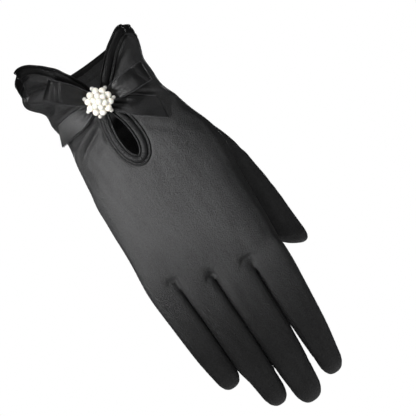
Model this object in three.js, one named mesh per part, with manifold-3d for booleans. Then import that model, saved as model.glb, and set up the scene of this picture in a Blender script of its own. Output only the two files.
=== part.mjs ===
// A wrist-length dress glove for the right hand, in black satin, in the shape that it has when worn.
// A flared cuff with two wings closes over the back of the wrist at a ribbon bow with a cluster of pearls.
// A bound keyhole opens below the bow, and the same binding runs round the cuff's edge.
//
// Millimetres. +Z runs up the arm and the fingers point down, -Y is the back of the hand, +X is the thumb's
// side. The origin is in the middle of the wrist, at the height of the bow, on the keyhole's middle line in
// the front view.

import * as THREE from "three";
import { mergeVertices } from "three/addons/utils/BufferGeometryUtils.js";
import Module from "manifold-3d";

// Sizes of the hand's cover
const WALL = 1.0;
const PALM_LENGTH = 101; // bow to the end of the palm, on the keyhole's line
const PALM_DEPTH = 26;
const WRIST_WIDTH = 56;
const WRIST_DEPTH = 38;
const FINGER_WIDTH = 19.0; // middle finger, as its depth and length are
const FINGER_DEPTH = 18.4;
const FINGER_LENGTH = 81.0; // from the palm's end to the tip
const FINGER_GAP = 0.5; // between the faces of neighbouring fingers

// Sizes of the cuff
const CUFF_HEIGHT = 36; // bow to the highest point of the binding's middle line
const CUFF_WIDTH = 65;
const CUFF_DEPTH = 50;
const RUFFLE_HEIGHT = 2.4; // how far a flute stands out at the cuff's edge
const RUFFLE_COUNT = 7;

// Sizes of the opening and its binding
const KEYHOLE_LENGTH = 35.2; // bow to the bottom of the binding's middle line
const KEYHOLE_WIDTH = 12.2; // between the binding's middle lines
const KEYHOLE_SHIFT = 1.1; // towards the thumb's side
const BINDING_WIDTH = 5.2;
const BINDING_THICKNESS = 2.2;

// Sizes of the bow and the pearls
const RIBBON_WIDTH = 10.8;
const RIBBON_THICKNESS = 1.0;
const BOW_REACH = 31.7; // bow's middle to the end of the longest tail
const LOOP_HEIGHT = 5.2; // from the loop's lower layer to its crown
const CLUSTER_DIAMETER = 16.4;

// Clearances
const SEAM_GAP = 0.3; // between pieces that are sewn to each other
const LAYER_GAP = 0.4; // between layers that lie on each other
const DRAPE_GAP = 1.2; // from the cloth to the ribbon, over the binding's rim
const FOURCHETTE_WIDTH = 6.6;

// How finely the round forms are meshed
const TUBE_SIDES = 32;
const FINGER_SIDES = 12;
const THUMB_SIDES = 12;
const BINDING_STEPS = 72;
const PEARL_SIDES = 10;
const PEARL_RINGS = 4;

// Fingers from the little finger to the index finger. width, depth, length: shares of the middle finger's.
// drift: how far the tip moves sideways, share of FINGER_WIDTH. taper: share of its width that a finger
// loses to the tip besides FINGER_SECTIONS.
const FINGER_TABLE = [
  { name: "little", width: 0.79, depth: 0.848, length: 0.79, drift: 0.074, taper: 0 },
  { name: "ring", width: 0.874, depth: 0.935, length: 0.975, drift: 0.01, taper: 0 },
  { name: "middle", width: 1, depth: 1, length: 1, drift: -0.18, taper: 0 },
  { name: "index", width: 0.974, depth: 0.978, length: 0.854, drift: -0.295, taper: 0.14 },
];
const FINGERS = FINGER_TABLE.map((row) => ({
  name: row.name,
  width: row.width * FINGER_WIDTH,
  depth: row.depth * FINGER_DEPTH,
  length: row.length * FINGER_LENGTH,
  drift: row.drift * FINGER_WIDTH,
  taper: row.taper,
}));
const KNUCKLE_SLANT = 0.33; // drop of the palm's end for each millimetre towards the thumb
const KNUCKLE_WIDTH = FINGERS.reduce((sum, finger) => sum + finger.width, 3 * FINGER_GAP);
const LITTLE_EDGE = -0.502 * KNUCKLE_WIDTH;

// The thumb's tube starts inside the palm. Its length runs from there to the tip.
const THUMB = { width: 20.5, depth: 18.5, length: 90.5, start: 0.235 };

// Sections of the palm. at: share of PALM_LENGTH below the bow. width: 0 is WRIST_WIDTH and 1 is the
// knuckles'. side: middle's shift to the thumb, share of the knuckles' width. depth: 0 is WRIST_DEPTH and 1
// is PALM_DEPTH. slant: share of KNUCKLE_SLANT. square: power of the superellipse, 2 for a plain ellipse.
const PALM_SECTIONS = [
  { at: 0.96, width: 0.9, side: 0.004, depth: 1.5, slant: 1.0, square: 3.2 },
  { at: 0.9, width: 0.93, side: 0.01, depth: 1.28, slant: 0.9, square: 2.8 },
  { at: 0.82, width: 0.96, side: 0.021, depth: 1.04, slant: 0.76, square: 2.5 },
  { at: 0.73, width: 1.0, side: 0.03, depth: 0.84, slant: 0.46, square: 2.3 },
  { at: 0.62, width: 1.06, side: 0.042, depth: 0.6, slant: 0.2, square: 2.2 },
  { at: 0.51, width: 1.16, side: 0.062, depth: 0.36, slant: 0.05, square: 2.2 },
  { at: 0.42, width: 1.1, side: 0.063, depth: 0.2, slant: 0, square: 2.2 },
  { at: 0.35, width: 0.88, side: 0.06, depth: 0.1, slant: 0, square: 2.2 },
  { at: 0.28, width: 0.63, side: 0.05, depth: 0.04, slant: 0, square: 2.2 },
  { at: 0.18, width: 0.31, side: 0.043, depth: 0, slant: 0, square: 2.2 },
  { at: 0.085, width: 0.0, side: 0.036, depth: 0, slant: 0, square: 2.2 },
];

// Sections of the cuff. at: share of CUFF_HEIGHT above the bow. width: 0 is WRIST_WIDTH and 1 is
// CUFF_WIDTH. side: middle's shift to the thumb, share of CUFF_WIDTH. depth: 0 is WRIST_DEPTH and 1 is
// CUFF_DEPTH.
const CUFF_SECTIONS = [
  { at: 0.0, width: 0.14, side: 0.036, depth: 0 },
  { at: 0.1, width: 0.26, side: 0.035, depth: 0.05 },
  { at: 0.22, width: 0.32, side: 0.038, depth: 0.22 },
  { at: 0.33, width: 0.54, side: 0.036, depth: 0.5 },
  { at: 0.44, width: 0.92, side: 0.024, depth: 0.76 },
  { at: 0.55, width: 1.12, side: 0.014, depth: 0.93 },
  { at: 0.68, width: 0.84, side: 0.02, depth: 1.0 },
  { at: 0.85, width: 0.72, side: 0.032, depth: 1.02 },
  { at: 1.2, width: 0.72, side: 0.034, depth: 1.06 },
];

// The hand's middle line seen from the side, where the side seams run. at: share of the way from the bow to
// the middle fingertip. lean: towards the palm's side, share of PALM_DEPTH.
const MIDLINE = [
  { at: -0.3, lean: 0 },
  { at: 0, lean: 0 },
  { at: 0.25, lean: -0.01 },
  { at: 0.4, lean: -0.04 },
  { at: 0.5, lean: -0.055 },
  { at: 0.6, lean: -0.03 },
  { at: 0.75, lean: 0.08 },
  { at: 0.88, lean: 0.22 },
  { at: 1.05, lean: 0.42 },
];

// Sections of a finger. at: share of its length from the palm's end, and negative for its start inside the
// palm. width, depth: shares of the finger's own.
const FINGER_SECTIONS = [
  { at: -0.2, width: 0.8, depth: 0.7 },
  { at: 0, width: 1, depth: 1 },
  { at: 0.34, width: 0.99, depth: 0.94 },
  { at: 0.6, width: 0.95, depth: 0.88 },
  { at: 0.74, width: 0.88, depth: 0.82 },
  { at: 0.86, width: 0.79, depth: 0.74 },
];
const FINGER_DOME = 0.14; // share of a finger's length that its round tip takes

// Sections of the thumb. at: share of its length. width, depth: shares of the thumb's own. side and palm:
// middle of the section towards the thumb's side and the palm's side, shares of the knuckles' width and
// PALM_DEPTH. slant: drop of the section for each millimetre towards the thumb's side.
const THUMB_SECTIONS = [
  { at: 0, width: 0.84, depth: 0.8, side: 0.325, palm: 0.12, slant: 0 },
  { at: 0.12, width: 1.04, depth: 1.0, side: 0.38, palm: 0.26, slant: 0 },
  { at: 0.25, width: 1.1, depth: 1.04, side: 0.44, palm: 0.43, slant: 0 },
  { at: 0.37, width: 1.04, depth: 1.02, side: 0.489, palm: 0.6, slant: 0 },
  { at: 0.51, width: 0.98, depth: 1.0, side: 0.522, palm: 0.74, slant: 0.05 },
  { at: 0.66, width: 0.96, depth: 0.98, side: 0.542, palm: 0.81, slant: 0.15 },
  { at: 0.78, width: 0.94, depth: 0.92, side: 0.547, palm: 0.84, slant: 0.3 },
  { at: 0.87, width: 0.9, depth: 0.82, side: 0.555, palm: 0.86, slant: 0.45 },
  { at: 1, width: 0.7, depth: 0.6, side: 0.58, palm: 0.88, slant: 0.6 },
];
const THUMB_DOME = 0.13;

// Long folds and dents of the cloth. turn: degrees round the hand from the back, positive to the thumb's
// side. up: share of CUFF_HEIGHT above the bow or, negative, of PALM_LENGTH below it. width: share of
// WRIST_WIDTH. rise: share of RUFFLE_HEIGHT, negative for a dent.
const FOLDS = [
  { name: "little side ridge", turn: [-24, -72], up: [-0.11, -0.2], width: 0.08, rise: 0.5 },
  { name: "little side furrow", turn: [-34, -66], up: [-0.2, -0.29], width: 0.08, rise: -0.45 },
  { name: "thumb side ridge", turn: [26, 74], up: [-0.05, -0.17], width: 0.08, rise: 0.45 },
  { name: "thumb side furrow", turn: [28, 60], up: [-0.22, -0.34], width: 0.08, rise: -0.35 },
  { name: "palm hollow", turn: [166, 194], up: [-0.55, -0.72], width: 0.24, rise: -0.85 },
  { name: "little side cuff furrow", turn: [-96, -62], up: [0.3, 0.34], width: 0.08, rise: -0.6 },
  { name: "thumb side cuff furrow", turn: [62, 104], up: [0.16, 0.14], width: 0.08, rise: -0.45 },
  { name: "palm side wrist furrow", turn: [140, 214], up: [0.12, 0.1], width: 0.1, rise: -0.7 },
];

// Middle line of the binding along the two wings, from the bow outwards in the front view. side: towards
// the wing's own side, share of CUFF_WIDTH. up: share of CUFF_HEIGHT.
const THUMB_WING_EDGE = [
  { side: 0.07, up: 0.03 },
  { side: 0.1, up: 0.12 },
  { side: 0.135, up: 0.21 },
  { side: 0.175, up: 0.286 },
  { side: 0.23, up: 0.384 },
  { side: 0.298, up: 0.492 },
  { side: 0.349, up: 0.556 },
  { side: 0.398, up: 0.611 },
  { side: 0.435, up: 0.642 },
];
const LITTLE_WING_EDGE = [
  { side: 0.031, up: 0.03 },
  { side: 0.045, up: 0.23 },
  { side: 0.072, up: 0.364 },
  { side: 0.112, up: 0.506 },
  { side: 0.151, up: 0.636 },
  { side: 0.198, up: 0.742 },
  { side: 0.249, up: 0.839 },
  { side: 0.306, up: 0.918 },
  { side: 0.358, up: 0.945 },
  { side: 0.398, up: 0.938 },
];

// Middle line of the binding round the palm's side of the cuff. turn: degrees from the back. up: share of
// CUFF_HEIGHT.
const PALM_CUFF_EDGE = [
  { turn: 76, up: 0.63 },
  { turn: 98, up: 0.59 },
  { turn: 125, up: 0.54 },
  { turn: 152, up: 0.51 },
  { turn: 180, up: 0.49 },
  { turn: 207, up: 0.52 },
  { turn: 232, up: 0.6 },
  { turn: 254, up: 0.74 },
  { turn: 271, up: 0.85 },
  { turn: 285, up: 0.91 },
];

// Middle line of the binding round the keyhole. at: share of KEYHOLE_LENGTH below the bow. half: distance
// from the keyhole's middle, share of half of KEYHOLE_WIDTH, the same on both sides.
const KEYHOLE_SIDE = [
  { at: 0.1, half: 0.5 },
  { at: 0.22, half: 0.6 },
  { at: 0.37, half: 0.83 },
  { at: 0.53, half: 0.98 },
  { at: 0.67, half: 1 },
  { at: 0.8, half: 0.92 },
  { at: 0.91, half: 0.68 },
  { at: 0.98, half: 0.33 },
];

// Side view of a ribbon loop, going out along its lower layer and back along its upper one. along: share of
// the loop's length from the bow's middle. lift: share of LOOP_HEIGHT. width: share of RIBBON_WIDTH.
const LOOP_PROFILE = [
  { along: 0.07, lift: 0, width: 0.5 },
  { along: 0.25, lift: 0, width: 0.66 },
  { along: 0.5, lift: 0, width: 0.94 },
  { along: 0.75, lift: 0.02, width: 1 },
  { along: 0.92, lift: 0.1, width: 1 },
  { along: 1, lift: 0.42, width: 1 },
  { along: 0.93, lift: 0.78, width: 1 },
  { along: 0.76, lift: 0.98, width: 1 },
  { along: 0.56, lift: 1, width: 0.96 },
  { along: 0.37, lift: 0.74, width: 0.8 },
  { along: 0.22, lift: 0.36, width: 0.64 },
  { along: 0.07, lift: 0.28, width: 0.48 },
];
const LOOP_PINCH = 0.38; // share of LOOP_HEIGHT that the loops reach under the pearls' backing

// Ribbon loops and tails, in the front view. angle: degrees from the thumb's side upwards. length: from the
// bow's middle, share of BOW_REACH. cut: how much the end slants, share of RIBBON_WIDTH.
const LOOPS = [
  { name: "bow_loop_thumb_side", angle: -0.5, length: 0.883 },
  { name: "bow_loop_little_side", angle: 132.7, length: 0.855 },
];
const TAILS = [
  { name: "bow_tail_thumb_side", angle: -39, length: 1, cut: -0.583 },
  { name: "bow_tail_little_side", angle: 185.5, length: 0.826, cut: 0.5 },
];
const DRAPE_LIMIT = 0.68; // share of the wrist's half width up to which the ribbons follow the cloth

// Rings of pearls. radius, diameter and lift (of a pearl's middle over the backing's foot) are shares of
// CLUSTER_DIAMETER, and turn is in steps between two pearls.
const PEARL_RINGS_TABLE = [
  { name: "pearl_rim", count: 7, radius: 0.448, diameter: 0.122, lift: 0.066, turn: 0.1 },
  { name: "pearl_outer", count: 10, radius: 0.335, diameter: 0.192, lift: 0.18, turn: 0.4 },
  { name: "pearl_inner", count: 6, radius: 0.178, diameter: 0.166, lift: 0.294, turn: 0.25 },
  { name: "pearl_centre", count: 1, radius: 0, diameter: 0.182, lift: 0.37, turn: 0 },
];

// Section of the binding, round its middle line. across: share of half of BINDING_WIDTH. out: share of half
// of BINDING_THICKNESS.
const BINDING_SECTION = [
  { across: -1, out: -0.2 },
  { across: -0.72, out: -1 },
  { across: 0.72, out: -1 },
  { across: 1, out: -0.2 },
  { across: 0.66, out: 1 },
  { across: -0.66, out: 1 },
];

// Half outline of the pearls' backing, as shares of CLUSTER_DIAMETER.
const BACKING_PROFILE = [
  { radius: 0.365, lift: 0 },
  { radius: 0.365, lift: 0.045 },
  { radius: 0.3, lift: 0.05 },
  { radius: 0.236, lift: 0.11 },
  { radius: 0.2, lift: 0.165 },
  { radius: 0.13, lift: 0.19 },
  { radius: 0.06, lift: 0.244 },
];

const wasm = await Module();
wasm.setup();

const { PI, cos, sin, abs, sign, hypot } = Math;
const DEGREE = PI / 180;
const SQUARENESS = 2.2; // power of the superellipse that the sections of the cuff, fingers and thumb are

const FINGERTIP_Z = -(PALM_LENGTH + FINGER_LENGTH);

// Helpers for tables, solids and lofts

// A smooth function through two columns of a table, whose rows go up in the first.
function column(rows, from, to) {
  const places = new Float64Array(rows.map((row) => row[from]));
  const values = new Float64Array(rows.map((row) => row[to]));
  const spline = new THREE.CubicInterpolant(places, values, 1);
  return (place) => spline.evaluate(THREE.MathUtils.clamp(place, places[0], places.at(-1)))[0];
}

function power(value, exponent) {
  return sign(value) * abs(value) ** exponent;
}

function toSolid(geometry) {
  const bare = geometry.index ? geometry.toNonIndexed() : geometry.clone();
  bare.deleteAttribute("normal");
  bare.deleteAttribute("uv");
  const merged = mergeVertices(bare, 1e-4);
  return new wasm.Manifold(
    new wasm.Mesh({
      numProp: 3,
      vertProperties: merged.attributes.position.array,
      triVerts: new Uint32Array(merged.index.array),
    }),
  );
}

function toGeometry(solid) {
  const mesh = solid.getMesh();
  const geometry = new THREE.BufferGeometry();
  geometry.setAttribute("position", new THREE.BufferAttribute(mesh.vertProperties.slice(), 3));
  geometry.setIndex(new THREE.BufferAttribute(mesh.triVerts.slice(), 1));
  geometry.computeVertexNormals();
  return geometry;
}

function union(solids) {
  return solids.reduce((sum, solid) => sum.add(solid));
}

// Joins rings of points, which all have the same number, into one closed surface. The rings close on
// themselves as a hoop, or a fan round each end ring's middle closes them.
function loft(rings, hoop = false) {
  const sides = rings[0].length;
  const points = rings.flat();
  const faces = [];
  const last = hoop ? rings.length : rings.length - 1;
  for (let i = 0; i < last; i++) {
    const next = (i + 1) % rings.length;
    for (let j = 0; j < sides; j++) {
      const k = (j + 1) % sides;
      const [a, b, c, d] = [i * sides + j, i * sides + k, next * sides + k, next * sides + j];
      faces.push(a, b, c, a, c, d);
    }
  }
  if (!hoop) {
    for (const [ring, offset, flip] of [
      [rings[0], 0, true],
      [rings.at(-1), (rings.length - 1) * sides, false],
    ]) {
      const middle = ring.reduce((sum, p) => sum.add(p), new THREE.Vector3()).divideScalar(sides);
      points.push(middle);
      for (let j = 0; j < sides; j++) {
        const pair = [offset + j, offset + ((j + 1) % sides)];
        faces.push(...(flip ? pair.reverse() : pair), points.length - 1);
      }
    }
  }
  const geometry = new THREE.BufferGeometry().setFromPoints(points);
  geometry.setIndex(faces);
  return geometry;
}

// A loft as a solid, whichever way round its rings run.
function loftSolid(rings, hoop = false) {
  const solid = toSolid(loft(rings, hoop));
  if (solid.volume() > 0) return solid;
  return toSolid(loft([...rings].reverse(), hoop));
}

// A prism of an outline in the YZ plane, between two places along X.
function prismAlongX(outline, from, to) {
  const shape = new THREE.Shape(outline.map((p) => new THREE.Vector2(p.y, p.z)));
  const geometry = new THREE.ExtrudeGeometry(shape, { depth: to - from, bevelEnabled: false });
  geometry.rotateY(PI / 2).rotateX(PI / 2).translate(from, 0, 0);
  return toSolid(geometry);
}

// The hand's cover: one tube from the knuckles to above the cuff

const leanAt = column(MIDLINE, "at", "lean");
const midlineY = (z) => PALM_DEPTH * leanAt(z / FINGERTIP_Z);

const TUBE_ROWS = [
  ...PALM_SECTIONS.map((row) => ({
    z: -row.at * PALM_LENGTH,
    halfWidth: THREE.MathUtils.lerp(WRIST_WIDTH, KNUCKLE_WIDTH, row.width) / 2,
    middle: row.side * KNUCKLE_WIDTH,
    halfDepth: THREE.MathUtils.lerp(WRIST_DEPTH, PALM_DEPTH, row.depth) / 2,
    slant: row.slant * KNUCKLE_SLANT,
    square: row.square,
  })),
  ...CUFF_SECTIONS.map((row) => ({
    z: row.at * CUFF_HEIGHT,
    halfWidth: THREE.MathUtils.lerp(WRIST_WIDTH, CUFF_WIDTH, row.width) / 2,
    middle: row.side * CUFF_WIDTH,
    halfDepth: THREE.MathUtils.lerp(WRIST_DEPTH, CUFF_DEPTH, row.depth) / 2,
    slant: 0,
    square: SQUARENESS,
  })),
];
const TUBE_COLUMNS = ["halfWidth", "middle", "halfDepth", "slant", "square"];
const tube = Object.fromEntries(TUBE_COLUMNS.map((name) => [name, column(TUBE_ROWS, "z", name)]));

const foldZ = (up) => up * (up > 0 ? CUFF_HEIGHT : PALM_LENGTH);

// How far the cloth stands out from the smooth tube, at a turn in degrees and a height.
function relief(turn, z) {
  const flare = THREE.MathUtils.smoothstep(z / CUFF_HEIGHT, 0.1, 1);
  let out = RUFFLE_HEIGHT * flare * cos(RUFFLE_COUNT * turn * DEGREE);
  const reach = WRIST_WIDTH / 2;
  for (const fold of FOLDS) {
    const [u0, u1] = fold.turn.map((t) => t * DEGREE * reach);
    const [z0, z1] = fold.up.map(foldZ);
    for (const lap of [-360, 0, 360]) {
      const u = (turn + lap) * DEGREE * reach;
      const share = ((u - u0) * (u1 - u0) + (z - z0) * (z1 - z0)) / ((u1 - u0) ** 2 + (z1 - z0) ** 2);
      const near = THREE.MathUtils.clamp(share, 0, 1);
      const away = hypot(u - u0 - near * (u1 - u0), z - z0 - near * (z1 - z0));
      out += fold.rise * RUFFLE_HEIGHT * Math.exp(-((away / (fold.width * WRIST_WIDTH)) ** 2));
    }
  }
  return out;
}

// A point of the tube's surface, or of one that much outside it.
function tubePoint(turn, z, grow = 0) {
  const out = grow + relief(turn, z);
  const bend = 2 / tube.square(z);
  const x = tube.middle(z) + (tube.halfWidth(z) + out) * power(sin(turn * DEGREE), bend);
  const y = midlineY(z) - (tube.halfDepth(z) + out) * power(cos(turn * DEGREE), bend);
  return new THREE.Vector3(x, y, z - tube.slant(z) * x);
}

// The turn at which the back of the tube has that x in the front view.
function turnAt(x, z, grow = 0) {
  let turn = 0;
  for (let pass = 0; pass < 4; pass++) {
    const share = (x - tube.middle(z)) / (tube.halfWidth(z) + grow + relief(turn, z));
    turn = Math.asin(power(THREE.MathUtils.clamp(share, -1, 1), tube.square(z) / 2)) / DEGREE;
  }
  return turn;
}

function onBack(x, z, lift = 0) {
  return tubePoint(turnAt(x, z, lift), z, lift);
}

const TUBE_TURNS = Array.from({ length: TUBE_SIDES }, (_, i) => (360 * i) / TUBE_SIDES);

function tubeRing(z, grow, shrink = 1, drop = 0) {
  return TUBE_TURNS.map((turn) => {
    const p = tubePoint(turn, z, grow);
    const middle = new THREE.Vector3(tube.middle(z), midlineY(z), z - tube.slant(z) * tube.middle(z));
    const q = middle.lerp(p, shrink);
    q.z -= drop;
    return q;
  });
}

// The palm's end is a low dome over its last section.
const PALM_END = PALM_SECTIONS[0].at * PALM_LENGTH;
const DOME_ANGLES = [30, 56, 78];

function handTube(grow) {
  const dome = DOME_ANGLES.map((angle) =>
    tubeRing(
      -PALM_END,
      grow,
      cos(angle * DEGREE) ** 0.6,
      (PALM_LENGTH - PALM_END + grow) * sin(angle * DEGREE),
    ),
  ).reverse();
  const heights = TUBE_ROWS.map((row) => row.z);
  return loftSolid([...dome, ...heights.map((z) => tubeRing(z, grow))]);
}

// Fingers and thumb

function ring(sides, middle, halfWidth, halfDepth, slant) {
  return Array.from({ length: sides }, (_, i) => {
    const angle = (2 * PI * i) / sides;
    const side = halfWidth * power(sin(angle), 2 / SQUARENESS);
    const back = halfDepth * power(cos(angle), 2 / SQUARENESS);
    return new THREE.Vector3(middle.x + side, middle.y - back, middle.z - slant * side);
  });
}

const widthShare = column(FINGER_SECTIONS, "at", "width");
const depthShare = column(FINGER_SECTIONS, "at", "depth");

// Where each finger starts, from the row of widths.
const fingers = FINGERS.map((finger, i) => {
  const before = FINGERS.slice(0, i).reduce((sum, f) => sum + f.width + FINGER_GAP, 0);
  const x = LITTLE_EDGE + before + finger.width / 2;
  const rootZ = -PALM_LENGTH - KNUCKLE_SLANT * x;
  return { ...finger, x, rootZ, tipZ: rootZ - finger.length };
});

// A finger's middle line at a share of its length, which is negative inside the palm.
function fingerMiddle(finger, share) {
  const z = finger.rootZ - share * finger.length;
  return new THREE.Vector3(finger.x + finger.drift * Math.max(share, 0) ** 1.2, midlineY(z), z);
}

// A tube with a round end: sections in order, then shrinking rings to the tip. The shape gives, at a share
// of the tube's length, the section's middle, halfWidth, halfDepth and slant.
function roundEnded(sides, shares, shapeAt, dome, grow) {
  const section = ({ middle, halfWidth, halfDepth, slant }, shrink = 1) =>
    ring(sides, middle, (halfWidth + grow) * shrink, (halfDepth + grow) * shrink, slant);
  const rings = shares.map((share) => section(shapeAt(share)));
  const start = shapeAt(1 - dome);
  const height = start.middle.z - shapeAt(1).middle.z + grow;
  for (const angle of [32, 60, 82]) {
    const shape = shapeAt(1 - dome + dome * sin(angle * DEGREE));
    shape.middle.z = start.middle.z - height * sin(angle * DEGREE);
    const size = { halfWidth: start.halfWidth, halfDepth: start.halfDepth };
    rings.push(section({ ...shape, ...size }, cos(angle * DEGREE) ** 0.8));
  }
  return loftSolid(rings);
}

function fingerTube(finger, grow) {
  const shapeAt = (share) => ({
    middle: fingerMiddle(finger, share),
    halfWidth: (finger.width / 2) * widthShare(share) * (1 - finger.taper * Math.max(share, 0)),
    halfDepth: (finger.depth / 2) * depthShare(share),
    slant: 0,
  });
  const shares = FINGER_SECTIONS.map((row) => row.at);
  return roundEnded(FINGER_SIDES, shares, shapeAt, FINGER_DOME, grow);
}

const thumbColumns = Object.fromEntries(
  ["width", "depth", "side", "palm", "slant"].map((name) => [name, column(THUMB_SECTIONS, "at", name)]),
);

function thumbTube(grow) {
  const shapeAt = (share) => ({
    middle: new THREE.Vector3(
      thumbColumns.side(share) * KNUCKLE_WIDTH,
      thumbColumns.palm(share) * PALM_DEPTH,
      -THUMB.start * PALM_LENGTH - share * THUMB.length,
    ),
    halfWidth: (THUMB.width / 2) * thumbColumns.width(share),
    halfDepth: (THUMB.depth / 2) * thumbColumns.depth(share),
    slant: thumbColumns.slant(share),
  });
  const shares = THUMB_SECTIONS.slice(0, -1).map((row) => row.at);
  return roundEnded(THUMB_SIDES, shares, shapeAt, THUMB_DOME, grow);
}

// The binding's middle line, as turns and heights, closed on itself through the pinch under the bow

function bindingLine() {
  const onFront = (x, z) => new THREE.Vector2(turnAt(x, z), z);
  const keyhole = (side) =>
    KEYHOLE_SIDE.map((row) => {
      const x = KEYHOLE_SHIFT + (side * row.half * KEYHOLE_WIDTH) / 2;
      return onFront(x, -row.at * KEYHOLE_LENGTH);
    });
  const wing = (rows, side) =>
    rows.map((row) => onFront(side * row.side * CUFF_WIDTH, row.up * CUFF_HEIGHT));
  const palmSide = PALM_CUFF_EDGE.map((row) => new THREE.Vector2(row.turn, row.up * CUFF_HEIGHT));
  const bottom = onFront(KEYHOLE_SHIFT, -KEYHOLE_LENGTH);
  const littleSide = [...wing(LITTLE_WING_EDGE, -1).reverse(), ...keyhole(-1), bottom];
  const lap = new THREE.Vector2(360, 0);
  return [
    bottom,
    ...keyhole(1).reverse(),
    ...wing(THUMB_WING_EDGE, 1),
    ...palmSide,
    ...littleSide.map((p) => p.clone().add(lap)),
  ];
}

// Equal steps along the line. Each step has its point on the cloth's middle, its tangent and its way out.
function bindingSteps(count) {
  const reach = WRIST_WIDTH / 2;
  const flat = bindingLine().map((p) => new THREE.Vector3(p.x * DEGREE * reach, p.y, 0));
  const curve = new THREE.CatmullRomCurve3(flat, false, "centripetal");
  curve.arcLengthDivisions = 1200;
  const at = (share) => {
    const p = curve.getPointAt(share);
    return [p.x / DEGREE / reach, p.y];
  };
  return Array.from({ length: count }, (_, i) => {
    const [turn, z] = at(i / count);
    const point = tubePoint(turn, z, -WALL / 2);
    const away = tubePoint(turn, z, WALL).sub(point).normalize();
    const [aheadTurn, aheadZ] = at(Math.min(1, i / count + 0.002));
    const tangent = tubePoint(aheadTurn, aheadZ, -WALL / 2).sub(point).normalize();
    const across = new THREE.Vector3().crossVectors(tangent, away).normalize();
    return { point, away, across };
  });
}

// A band along the binding's middle line, of a section in millimetres.
function bandSolid(section) {
  const rings = bindingSteps(BINDING_STEPS).map(({ point, away, across }) =>
    section.map((corner) =>
      point.clone().addScaledVector(across, corner.across).addScaledVector(away, corner.out),
    ),
  );
  return loftSolid(rings, true);
}

const bindingSection = BINDING_SECTION.map((corner) => ({
  across: (corner.across * BINDING_WIDTH) / 2,
  out: (corner.out * BINDING_THICKNESS) / 2,
}));

// The room that the binding takes out of the panels.
const roomSection = [
  [-1, -1],
  [1, -1],
  [1, 1],
  [-1, 1],
].map(([side, out]) => ({ across: side * (BINDING_WIDTH / 2 + SEAM_GAP), out: out * 2 * WALL }));

// Panels: the seams' middle surface parts the back from the palm, and a fourchette lies between two fingers

function midlineBand(offsetFrom, offsetTo, fromZ, toZ) {
  const steps = 10;
  const heights = Array.from({ length: steps + 1 }, (_, i) => fromZ + ((toZ - fromZ) * i) / steps);
  const edge = (offset) => heights.map((z) => ({ y: midlineY(z) + offset, z }));
  return [...edge(offsetFrom), ...edge(offsetTo).reverse()];
}

const BAND_TOP = 2 * CUFF_HEIGHT;
const BAND_BOTTOM = 1.1 * FINGERTIP_Z;
const HALF_SPAN = KNUCKLE_WIDTH;
const FAR_OUT = 2 * CUFF_DEPTH;

const backBand = midlineBand(-FAR_OUT, -SEAM_GAP / 2, BAND_BOTTOM, BAND_TOP);
const palmBand = midlineBand(SEAM_GAP / 2, FAR_OUT, BAND_BOTTOM, BAND_TOP);
const backHalf = prismAlongX(backBand, -HALF_SPAN, HALF_SPAN);
const palmHalf = prismAlongX(palmBand, -HALF_SPAN, HALF_SPAN);

// The strip between two neighbouring fingers, wider or narrower by grow on every side.
function fourchetteZone(one, other, grow) {
  const half = FOURCHETTE_WIDTH / 2 + grow;
  const crotchZ = -PALM_LENGTH - KNUCKLE_SLANT * ((one.x + one.width / 2 + other.x - other.width / 2) / 2);
  const top = crotchZ + 4 * WALL + grow;
  const shorter = one.length < other.length ? one : other;
  const bottom = shorter.tipZ + 1.6 * FINGER_DOME * shorter.length - grow;
  return prismAlongX(midlineBand(-half, half, bottom, top), one.x + one.drift, other.x + other.drift);
}

const handOuter = union([handTube(0), ...fingers.map((finger) => fingerTube(finger, 0))]);
const handInner = union([handTube(-WALL), ...fingers.map((finger) => fingerTube(finger, -WALL))]);
const thumbInner = thumbTube(-WALL);
const cover = handOuter
  .subtract(handInner)
  .subtract(thumbInner)
  .subtract(bandSolid(roomSection));

const pairs = fingers.slice(1).map((finger, i) => [fingers[i], finger]);
const fourchetteSpace = union(pairs.map(([one, other]) => fourchetteZone(one, other, SEAM_GAP / 2)));
const thumb = thumbTube(0).subtract(thumbInner).subtract(handTube(SEAM_GAP));

// The largest body of a cut solid. The binding's cut parts the panels from what lies inside the keyhole and
// above the cuff's edge, which isn't cloth.
function mainBody(solid) {
  return solid.decompose().reduce((largest, body) => (body.volume() > largest.volume() ? body : largest));
}

// The ribbon bow, draped over the back of the wrist

// A place over the back of the wrist. Beyond DRAPE_LIMIT it leaves the cloth straight on, as a stiff ribbon
// does.
function onDrape(x, z, lift) {
  const middle = tube.middle(z);
  const limit = DRAPE_LIMIT * tube.halfWidth(z);
  const reach = THREE.MathUtils.clamp(x - middle, -limit, limit);
  const near = onBack(middle + reach, z, lift);
  const before = onBack(middle + 0.94 * reach, z, lift);
  const slope = (near.y - before.y) / (near.x - before.x);
  const beyond = x - middle - reach;
  return new THREE.Vector3(x, near.y + (beyond ? slope * beyond : 0), near.z);
}

// The front view's place at that length along a ribbon and, in half widths, across it.
function ribbonPlace(angle, along, across, lift) {
  const [dx, dz] = [cos(angle * DEGREE), sin(angle * DEGREE)];
  return onDrape(along * dx - across * dz, along * dz + across * dx, lift);
}

const ACROSS_TAIL = [-1, -0.5, 0, 0.5, 1];
const ACROSS_LOOP = [-1, 0, 1];
const TAIL_LIFT = DRAPE_GAP;
const LOOP_LIFT = TAIL_LIFT + RIBBON_THICKNESS + LAYER_GAP;
const TAIL_STEPS = 8;

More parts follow.
